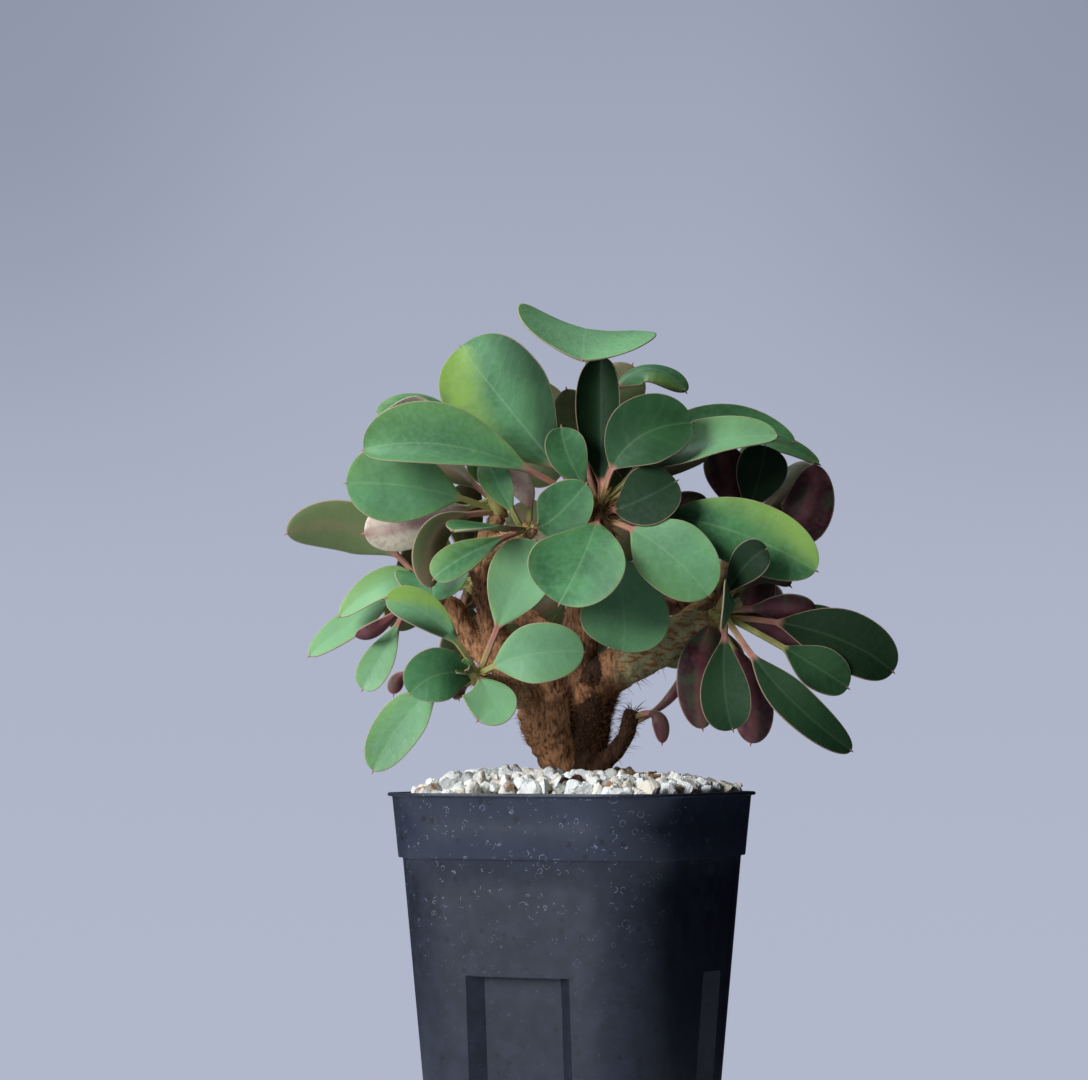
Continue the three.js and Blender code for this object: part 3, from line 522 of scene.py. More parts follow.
@dataclass(frozen=True)
class Bark(Finish):
    """Living bark, grown: dull cinnamon with fine fibres up the trunk, and green-tan skin with
    rusty scales on the young branches; limbs in shade carry painted shade in dark brown."""

    name: str = "living_bark_fuzzy"
    roughness: float = 0.95
    level: float = 0.15
    dark: str = "#48301f"
    brown: str = "#aa7b55"
    scale: str = "#8f5a30"
    young: str = "#a09a6c"
    shaded: str = "#241812"
    fibre_mm: float = 0.8
    patch_mm: float = 3.2
    scale_mm: float = 1.8
    fibre_deep_mm: float = 0.3

    def paint(self, palette: Palette, surface: bpy.types.Node) -> None:
        """Paints brown bark that turns green-tan where the wood is young, with painted shade on the limbs in
        shade.

        Args:
            palette: the material's pattern builder.
            surface: its Principled shader.
        """
        # Fibres are drawn out up the trunk, and the young bark's scales lie across it.
        fibre = palette.speckle(self.fibre_mm, 4.0, None, (1.0, 1.0, 0.35))
        patch = palette.speckle(self.patch_mm, 3.0)
        old = palette(MIX, palette(EASE, fibre, 0.25, 0.62), self.dark, self.brown)
        old = palette(MIX, palette(EASE, patch, 0.5, 0.75, 0.0, 0.4), old, self.dark)
        scales = palette.speckle(self.scale_mm, 4.0, None, (0.6, 1.0, 1.6))
        young = palette(MIX, palette(EASE, scales, 0.5, 0.6, 0.0, 0.85), self.young, self.scale)
        young = palette(MIX, palette(EASE, fibre, 0.55, 0.75, 0.0, 0.4), young, self.dark)
        share = palette(EASE, palette.value("youth"), 0.1, 0.8)
        colour = palette(MIX, share, old, young)
        # Painted shade: limbs that stand in shade are mixed towards dark brown.
        colour = palette(MIX, palette.value("shade"), colour, self.shaded)
        palette.tree.links.new(colour, surface.inputs["Base Color"])
        palette.tree.links.new(palette(BUMP, fibre, self.fibre_deep_mm * MM), surface.inputs["Normal"])


@dataclass(frozen=True)
class Hair(Finish):
    """Dry stipule bristles, grown: stiff red-brown hairs with paler, orange tips."""

    name: str = "dry_stipule_bristle"
    roughness: float = 0.6
    root: str = "#3d2013"
    tip: str = "#d99450"

    def paint(self, palette: Palette, surface: bpy.types.Node) -> None:
        """Paints each bristle from root to tip.

        Args:
            palette: the material's pattern builder.
            surface: its Principled shader.
        """
        tone = palette.value("seed")
        share = palette(TIMES, palette(EASE, palette.value("along"), 0.0, 1.0, 0.35, 1.0), tone)
        palette.tree.links.new(palette(MIX, share, self.root, self.tip), surface.inputs["Base Color"])


@dataclass(frozen=True)
class MouldedPot(Finish):
    """Black polypropylene, injection moulded with a fine matte skin: a soft sheen, with white lime
    specks and small broken rings left by hard water."""

    name: str = "polypropylene_moulded_limed"
    roughness: float = 0.4
    level: float = 0.5
    plastic: str = "#0f1218"
    dust: str = "#262c3a"
    painted_band_sheen: str = "#2c323f"
    damp: str = "#07080b"
    lime: str = "#a3adbc"
    dust_mm: float = 5.0
    drop_mm: float = 5.0
    ring_mm: tuple[float, float] = (2.6, 4.6)
    ring_line_mm: float = 0.2
    break_mm: float = 1.2
    fleck_mm: float = 1.3
    grain_mm: float = 0.5

    def paint(self, palette: Palette, surface: bpy.types.Node) -> None:
        """Paints the plastic, its dust and its lime marks.

        Args:
            palette: the material's pattern builder.
            surface: its Principled shader.
        """
        tree = palette.tree
        dusty = palette(EASE, palette.speckle(self.dust_mm, 5.0), 0.35, 0.75, 0.15, 0.6)
        body = palette(MIX, dusty, self.plastic, self.dust)
        # The band under the lip is painted paler, a painted sheen, and drops have left dark spots 2 mm
        # across.
        body = palette(MIX, palette(EASE, palette.value("height"), 0.815, 0.835, 0.0, 0.4), body, self.painted_band_sheen)
        inputs = {"Vector": palette.place(), "Scale": across_mm(self.drop_mm)}
        drops = add_node(tree, "ShaderNodeTexVoronoi", {}, inputs)
        body = palette(MIX, palette(EASE, drops.outputs["Distance"], 0.14, 0.2, 0.7, 0.0), body, self.damp)
        # Lime lies thick on the band and the upper wall, and thins out below.
        high = palette(EASE, palette.value("height"), 0.45, 0.84, 0.12, 1.0)
        broken = palette(EASE, palette.speckle(self.break_mm, 2.0), 0.47, 0.6)
        small, large = self.ring_mm
        marks = palette(LARGER, self.rings(palette, small, 0.27), self.rings(palette, large, 0.2))
        marks = palette(TIMES, marks, broken)
        # Specks are 0.2 to 0.4 mm across.
        inputs = {"Vector": palette.place(), "Scale": across_mm(self.fleck_mm)}
        dots = add_node(tree, "ShaderNodeTexVoronoi", {}, inputs)
        fleck = palette(EASE, dots.outputs["Distance"], 0.08, 0.17, 1.0, 0.0)
        fleck = palette(TIMES, fleck, palette(EASE, palette.speckle(4.0, 3.0), 0.5, 0.62))
        marks = palette(TIMES, palette(TIMES, palette(LARGER, marks, fleck), high), 0.5)
        tree.links.new(palette(MIX, marks, body, self.lime), surface.inputs["Base Color"])
        rough = palette.speckle(6.0, 4.0)
        rough = palette(EASE, rough, 0.3, 0.7, self.roughness - 0.02, self.roughness + 0.05)
        rough = palette(PLUS, rough, palette(TIMES, marks, 0.3))
        tree.links.new(rough, surface.inputs["Roughness"])
        # The mould's grain is finer than this and is drawn coarse to show.
        grain = palette.speckle(self.grain_mm, 2.0)
        tree.links.new(palette(BUMP, grain, 0.02 * MM), surface.inputs["Normal"])

    def rings(self, palette: Palette, spacing_mm: float, radius: float) -> Socket:
        """Returns thin rings round the middles of half of the cells of this spacing.

        Args:
            palette: the material's pattern builder.
            spacing_mm: millimetres from ring to ring.
            radius: each ring's radius, as a share of the spacing.

        Returns:
            The rings, from 0 to 1.
        """
        inputs = {"Vector": palette.wavering(1.5, 0.9), "Scale": across_mm(spacing_mm)}
        cell = add_node(palette.tree, "ShaderNodeTexVoronoi", {}, inputs)
        parts = add_node(palette.tree, "ShaderNodeSeparateColor", {}, {0: cell.outputs["Color"]})
        size = palette(EASE, parts.outputs[1], 0.0, 1.0, radius * 0.7, radius * 1.3)
        away = palette(UNSIGNED, palette(MINUS, cell.outputs["Distance"], size))
        # The line is as wide whatever the ring's size, and half of the cells hold none.
        ring = palette(EASE, away, 0.0, self.ring_line_mm / 2 / spacing_mm, 1.0, 0.0)
        return palette(TIMES, ring, palette(EASE, parts.outputs[0], 0.48, 0.52, 1.0, 0.0))


@dataclass(frozen=True)
class Pumice(Finish):
    """Pumice, crushed: chalky white, cream and grey grains full of fine pores, a few rusty."""

    name: str = "pumice_crushed"
    roughness: float = 0.95
    level: float = 0.2
    white: str = "#e9ebe3"
    cream: str = "#ddd4bf"
    grey: str = "#a3a69e"
    rust: str = "#a87349"
    pore_mm: float = 0.4
    chip_mm: float = 1.6
    stain_mm: float = 1.5

    def paint(self, palette: Palette, surface: bpy.types.Node) -> None:
        """Paints each grain by its own tint, with pores.

        Args:
            palette: the material's pattern builder.
            surface: its Principled shader.
        """
        tint = palette.value("tint")
        colour = palette(MIX, palette(EASE, tint, 0.5, 0.85), self.white, self.cream)
        colour = palette(MIX, palette(EASE, tint, 0.88, 0.92, 0.0, 0.8), colour, self.grey)
        stain = palette(TIMES, palette(EASE, tint, 0.965, 0.97),
                        palette(EASE, palette.speckle(self.stain_mm), 0.4, 0.6))
        colour = palette(MIX, stain, colour, self.rust)
        pores = palette.speckle(self.pore_mm, 3.0)
        # The pores are painted grey: painted shade in the holes.
        colour = palette(MIX, palette(EASE, pores, 0.55, 0.7, 0.0, 0.5), colour, self.grey)
        palette.tree.links.new(colour, surface.inputs["Base Color"])
        # Small broken faces, and pores on them.
        normal = palette(BUMP, palette.speckle(self.chip_mm, 3.0), 0.5 * MM)
        palette.tree.links.new(palette(BUMP, pores, 0.25 * MM, normal), surface.inputs["Normal"])


@dataclass(frozen=True)
class Earth(Finish):
    """Soil or dry litter, left rough: dark crumbly brown."""

    name: str = "potting_soil_crumbled"
    roughness: float = 1.0
    level: float = 0.1
    dark: str = "#20160f"
    pale: str = "#4a3626"
    grain_mm: float = 2.0

    def paint(self, palette: Palette, surface: bpy.types.Node) -> None:
        """Paints the crumbs.

        Args:
            palette: the material's pattern builder.
            surface: its Principled shader.
        """
        crumb = palette.speckle(self.grain_mm, 4.0)
        palette.tree.links.new(palette(MIX, palette(EASE, crumb, 0.35, 0.7), self.dark, self.pale),
                               surface.inputs["Base Color"])
        palette.tree.links.new(palette(BUMP, crumb, self.grain_mm * 0.3 * MM), surface.inputs["Normal"])


class Underside(Enum):
    """How a leaf's lower face is coloured: its purple share and whether a pink band runs down it."""

    PURPLE = (1.0, 0.3)
    OLIVE = (0.05, 0.2)
    BANDED = (0.02, 1.0)
    DUSKY = (0.35, 0.3)


@dataclass
class Leaf:
    """One leaf: a bent stalk and a blade, broadest past its middle and blunt at the tip."""

    name: str
    root: np.ndarray
    bend: np.ndarray
    tip: np.ndarray
    facing: np.ndarray
    width: float
    fold: float
    stalk: float
    widest: float = 0.6
    # How yellow the blade is, from 0 to 1; below zero, how deep the painted shade on it is.
    ripe: float = 0.12
    underside: Underside = Underside.OLIVE
    scale: float = 1.0
    # How much painted light lightens the blade, from 0 to 1.
    pale: float = 0.0

    BEND_SHARE = 0.4
    VEIN_MM = 4.2
    # The way towards the light; the half of a ripe blade turned from it is painted in shade.
    SUNNY = unit(np.array([-0.7, -0.2, 0.7]))
    STALK_HALF = 0.8
    TIP_HALF = 0.35
    STALK_THICK = 1.5
    BLADE_THICK = 0.85
    STALK_STEPS = 7
    BLADE_STEPS = 30
    LINES = 15
    GROOVE_DEEP = 0.16
    GROOVE_HALF = 0.5
    KEEL_HIGH = 0.4
    KEEL_HALF = 0.7
    # How ripe a blade is at its foot, how much riper at its tip, and the least, where below zero is painted
    # shade: a ripe one and a green one.
    RIPENING_AND_PAINTED_SHADE = ((-0.65, 1.25, -0.9), (0.1, 0.55, 0.0))
    COUNTS_RIPE = 0.3
    SUNNY_SIDE = 0.95
    # Heights and radii of the small point at the tip.
    POINT_SHAPE = ((-0.5, 0.38), (0.3, 0.26), (1.1, 0.04))
    POINT_SIDES = 6

    def curve(self, s: np.ndarray) -> tuple[np.ndarray, np.ndarray]:
        """Returns places on the centreline.

        Args:
            s: how far along it they are, from 0 to 1.

        Returns:
            The points, and the unit direction at each.
        """
        q = self.BEND_SHARE
        control = (self.bend - (1 - q) ** 2 * self.root - q * q * self.tip) / (2 * q * (1 - q))
        s = s[:, None]
        points = (1 - s) ** 2 * self.root + 2 * s * (1 - s) * control + s * s * self.tip
        tangents = 2 * (1 - s) * (control - self.root) + 2 * s * (self.tip - control)
        return points, unit(tangents)

    def outline(self, v: np.ndarray) -> np.ndarray:
        """Returns how wide the blade is.

        Args:
            v: how far along the blade, from 0 to 1.

        Returns:
            The share of the full half width.
        """
        rising = np.sin(np.pi / 2 * np.clip(v / self.widest, 0, 1)) ** 0.9
        fall = np.clip((v - self.widest) / (1 - self.widest), 0, 1)
        return np.where(v < self.widest, rising, np.sqrt(1 - fall ** 2.3))

    def grow(self, draft: Draft, rng: np.random.Generator) -> None:
        """Adds the leaf to a draft.

        Args:
            draft: the rosette's mesh.
            rng: the random draw for its waves and tint.
        """
        rise = np.sin(np.pi / 2 * np.linspace(0, 1, self.BLADE_STEPS))
        s = np.concatenate([np.linspace(0, self.stalk, self.STALK_STEPS, endpoint=False),
                            self.stalk + (1 - self.stalk) * rise])
        v = (s - self.stalk) / (1 - self.stalk)
        blade = np.clip(v, 0, 1)
        centre, along = self.curve(s)
        normal = unit(self.facing - along * (along @ self.facing)[:, None])
        side = np.cross(along, normal)
        least = (self.STALK_HALF + (self.TIP_HALF - self.STALK_HALF) * blade) * self.scale
        half = np.sqrt(least ** 2 + (self.width / 2 * self.outline(blade) * (v > 0)) ** 2)
        thick = self.STALK_THICK + (self.BLADE_THICK - self.STALK_THICK) * np.clip(blade * 4, 0, 1)
        thick = thick * self.scale
        a = np.sin(np.pi / 2 * np.linspace(-1, 1, self.LINES))
        rib_mm = np.abs(a) * half[:, None]
        wave = self.waves(rng, a, blade) * half[:, None]
        lift = self.fold * half[:, None] * a ** 2 + wave
        shell = thick[:, None] / 2 * (1 - 0.5 * a ** 6)
        groove = self.GROOVE_DEEP * np.exp(-(rib_mm / self.GROOVE_HALF) ** 2) * (blade > 0)[:, None]
        keel = self.KEEL_HIGH * np.exp(-(rib_mm / self.KEEL_HALF) ** 2) * ((1 - blade) * (blade > 0))[:, None]
        flat = centre[:, None] + side[:, None] * (a * half[:, None])[..., None]
        upper = flat + normal[:, None] * (lift + shell - groove)[..., None]
        lower = flat + normal[:, None] * (lift - shell - keel)[..., None]
        rims = [centre + side * ((1.0 + 0.1 / half) * half * sign)[:, None] + normal * lift[:, k][:, None]
                for sign, k in ((1, -1), (-1, 0))]
        rings = np.concatenate([upper, rims[0][:, None], lower[:, ::-1], rims[1][:, None]], axis=1)
        count, sides = rings.shape[:2]
        edge_mm = half[:, None] * (1 - np.abs(a))
        zero = np.zeros((count, 1))
        row = np.ones((1, sides))
        ribs = np.concatenate([rib_mm, half[:, None], rib_mm[:, ::-1], half[:, None]], axis=1)
        run = np.linalg.norm(self.tip - self.root) * (1 - self.stalk) * blade[:, None]
        # Ripe blades are yellow towards the tip and on the half that faces the light. Below zero a blade is
        # painted shade, mixed towards dark green, at the foot and on the half turned from the light.
        foot, climb, deepest_painted_shade = self.RIPENING_AND_PAINTED_SHADE[0 if self.ripe > self.COUNTS_RIPE else 1]
        ripening_and_painted_shade = foot + climb * blade[:, None] + self.SUNNY_SIDE * a * np.sign(side @ self.SUNNY)[:, None]
        ripening_and_painted_shade = np.clip(ripening_and_painted_shade, deepest_painted_shade, 1.0) if self.ripe > 0 else np.ones_like(rib_mm)
        ripening_and_painted_shade = np.concatenate([ripening_and_painted_shade, ripening_and_painted_shade[:, -1:], ripening_and_painted_shade[:, ::-1], ripening_and_painted_shade[:, :1]], axis=1)
        draft.add(
            rings.reshape(-1, 3),
            ring_faces(count, sides),
            upper=np.tile(np.r_[np.ones(self.LINES), 0.5, np.zeros(self.LINES), 0.5], count),
            edge_mm=np.concatenate([edge_mm, zero, edge_mm[:, ::-1], zero], axis=1).ravel(),
            rib_mm=ribs.ravel(),
            vein=((run - 0.8 * ribs) / self.VEIN_MM).ravel(),
            along=(np.where(v < 0, v * (1 - self.stalk) / self.stalk, v)[:, None] * row).ravel(),
            ripe=(self.ripe * ripening_and_painted_shade).ravel(),
            purple=self.underside.value[0],
            banded=self.underside.value[1],
            pale=self.pale,
            seed=rng.uniform(0, 20),
        )
        self.grow_point(draft, centre[-1], along[-1])

    def waves(self, rng: np.random.Generator, a: np.ndarray, blade: np.ndarray) -> np.ndarray:
        """Returns a soft waving of the blade, as a share of its half width.

        Args:
            rng: the random draw.
            a: places across the blade, from -1 to 1.
            blade: places along it, from 0 to 1.

        Returns:
            The rise at each place along and across.
        """
        phase = rng.uniform(0, 2 * np.pi, 3)
        ripple = 0.035 * np.sin(7 * blade[:, None] + phase[0]) * np.sign(a) * a ** 2
        sag = 0.03 * np.sin(4 * blade[:, None] + phase[1]) * a ** 2
        twist = 0.05 * math.sin(phase[2]) * a * blade[:, None]
        return (ripple + sag + twist) * (blade > 0)[:, None]

    def grow_point(self, draft: Draft, place: np.ndarray, way: np.ndarray) -> None:
        """Adds the small red-brown point at the tip.

        Args:
            draft: the rosette's mesh.
            place: the blade's end.
            way: the direction that the blade ends in.
        """
        if self.scale < 1:
            return
        circle = turned(*sides_of(way, (0.31, 0.2, 0.93)), full_turn(self.POINT_SIDES))
        rings = [place + way * reach + circle * girth for reach, girth in self.POINT_SHAPE]
        draft.add(np.concatenate(rings), ring_faces(len(rings), self.POINT_SIDES), upper=0.5, edge_mm=2.0,
                  rib_mm=9.0, along=-0.05, vein=0.0, ripe=0.0, purple=1.0, banded=0.0, pale=0.0, seed=0.0)


@dataclass(frozen=True)
class Reading:
    """A leaf read from the photograph: bend and tip as seen, and the way its upper side faces."""

    name: str
    bend: Point
    tip: Point
    facing: Point
    width: float
    fold: float
    stalk: float
    widest: float = 0.6
    # How yellow the blade is, from 0 to 1; below zero, how deep the painted shade on it is.
    ripe: float = 0.12
    underside: Underside = Underside.OLIVE
    # How much painted light lightens the blade, from 0 to 1.
    pale: float = 0.0


@dataclass(frozen=True)
class FarSide:
    """Leaves of a rosette's far side, set by the golden angle about an axis."""

    count: int
    length: float
    width: float
    axis: Point
    first: float
    undersides: tuple[Underside, ...] = (Underside.OLIVE, Underside.DUSKY)


@dataclass
class Rosette:
    """A tuft of leaves round a growing tip, on a stem of its own."""

    name: str
    centre: Point
    axis: Point
    route: list[Knot]
    readings: list[Reading] = field(default_factory=list)
    far: FarSide | None = None
    tip_leaves: int = 3
    woody: bool = False

    ROOT_STEP = 1.1
    KNOB = 1.6
    STEM_END = 3.0
    CORE_RADIUS = 2.4
    GOLDEN_ANGLE = math.radians(137.5)
    # Degrees between the axis and a far leaf: the innermost, and how many more the outermost.
    FAR_TILT = (46, 38)
    # Heights over the tip's middle and shares of the core's radius.
    CORE_SHAPE = ((-4.0, 0.9), (-1.5, 1.05), (1.5, 0.95), (3.2, 0.65), (4.4, 0.2))
    CORE_SIDES = 16
    YOUNG_MM = 5.5
    YOUNG_WIDTH = 2.6

    def knots(self) -> list[Knot]:
        """Works out the stem.

        Returns:
            Its knots, up to under the growing tip, or through a woody one.
        """
        axis = unit(np.array(self.axis, float))
        end = np.array(self.centre) - self.STEM_END * axis
        radius = min(self.CORE_RADIUS, self.route[-1][3])
        knots = [*self.route, (*end, radius)]
        if self.woody:
            knots.append((*(np.array(self.centre) + self.KNOB * axis), self.CORE_RADIUS))
        return knots

    def leaves(self) -> list[Leaf]:
        """Works out the tuft.

        Returns:
            Its leaves, with their roots spread up the growing tip.
        """
        centre = seen(*self.centre)
        found = [Leaf(r.name, centre, seen(*r.bend), seen(*r.tip), heading(*r.facing), r.width, r.fold,
                      r.stalk, r.widest, r.ripe, r.underside, pale=r.pale) for r in self.readings]
        found += self.far_leaves()
        for i, leaf in enumerate(found):
            leaf.root = leaf.root + heading(*self.axis) * ((i % 5) - 2) * self.ROOT_STEP
        return found

    def far_leaves(self) -> list[Leaf]:
        """Works out the leaves that the photograph doesn't show.

        Returns:
            The leaves of the far side, if the tuft has any.
        """
        if self.far is None:
            return []
        centre = seen(*self.centre)
        way = heading(*self.far.axis)
        side, other = sides_of(way, (0, 0, -1))
        least, more = self.FAR_TILT
        found = []
        for i in range(self.far.count):
            around = math.radians(self.far.first) + i * self.GOLDEN_ANGLE
            radial = turned(side, other, around)
            tilt = math.radians(least + more * i / self.far.count)
            reach = self.far.length * (0.85 + 0.3 * ((i * 0.618) % 1))
            ends = [centre + turned(way, radial, angle) * distance
                    for angle, distance in ((tilt - 0.25, reach * 0.45), (tilt, reach))]
            facing = way * math.sin(tilt) - radial * math.cos(tilt)
            underside = self.far.undersides[i % len(self.far.undersides)]
            # Every third far leaf takes a little painted shade.
            found.append(Leaf(f"{self.name}_far_{i + 1}", centre.copy(), *ends, facing, self.far.width,
                              0.15, 0.25, 0.6, 0.15 * (i % 3) - 0.1, underside))
        return found

    def growing_tip(self, draft: Draft, rng: np.random.Generator) -> None:
        """Adds the core and its small folded young leaves.

        Args:
            draft: the tuft's mesh.
            rng: the random draw.
        """
        if self.woody:
            return
        centre = seen(*self.centre)
        axis = heading(*self.axis)
        side, other = sides_of(axis, (-0.3, -0.2, -0.1))
        circle = turned(side, other, full_turn(self.CORE_SIDES))
        rings = [centre + axis * rise + circle * self.CORE_RADIUS * share for rise, share in self.CORE_SHAPE]
        draft.add(np.concatenate(rings), ring_faces(len(rings), self.CORE_SIDES), upper=1.0, edge_mm=3.0,
                  rib_mm=3.0, along=-0.9, vein=0.0, ripe=0.6, purple=0.0, banded=0.0, pale=0.0,
                  seed=rng.uniform(0, 20))
        for i in range(self.tip_leaves):
            radial = turned(side, other, i * self.GOLDEN_ANGLE)
            reach = self.YOUNG_MM + 0.8 * i
            lean = 0.25 + 0.12 * i
            way = unit(axis + radial * lean)
            foot = centre + axis * 1.5
            Leaf(f"{self.name}_young_{i + 1}", foot, foot + way * reach * 0.5, foot + way * reach,
                 unit(axis * 0.4 - radial), self.YOUNG_WIDTH, 0.5, 0.1, 0.6, 0.9, scale=0.5).grow(draft, rng)

    def build(self, material: bpy.types.Material, rng: np.random.Generator) -> None:
        """Builds the tuft and puts it in the frame.

        Args:
            material: the leaf finish.
            rng: the random draw.
        """
        draft = Draft()
        leaves = self.leaves()
        for leaf in leaves:
            leaf.grow(draft, rng)
        LOG.info("%s: %s", self.name, " ".join(leaf.name for leaf in leaves))
        self.growing_tip(draft, rng)
        piece = draft.make(f"leaves_{self.name}", material)
        put_in_frame(piece, "leaf", f"rosette_{self.name}")


PURPLE, BANDED, DUSKY = Underside.PURPLE, Underside.BANDED, Underside.DUSKY

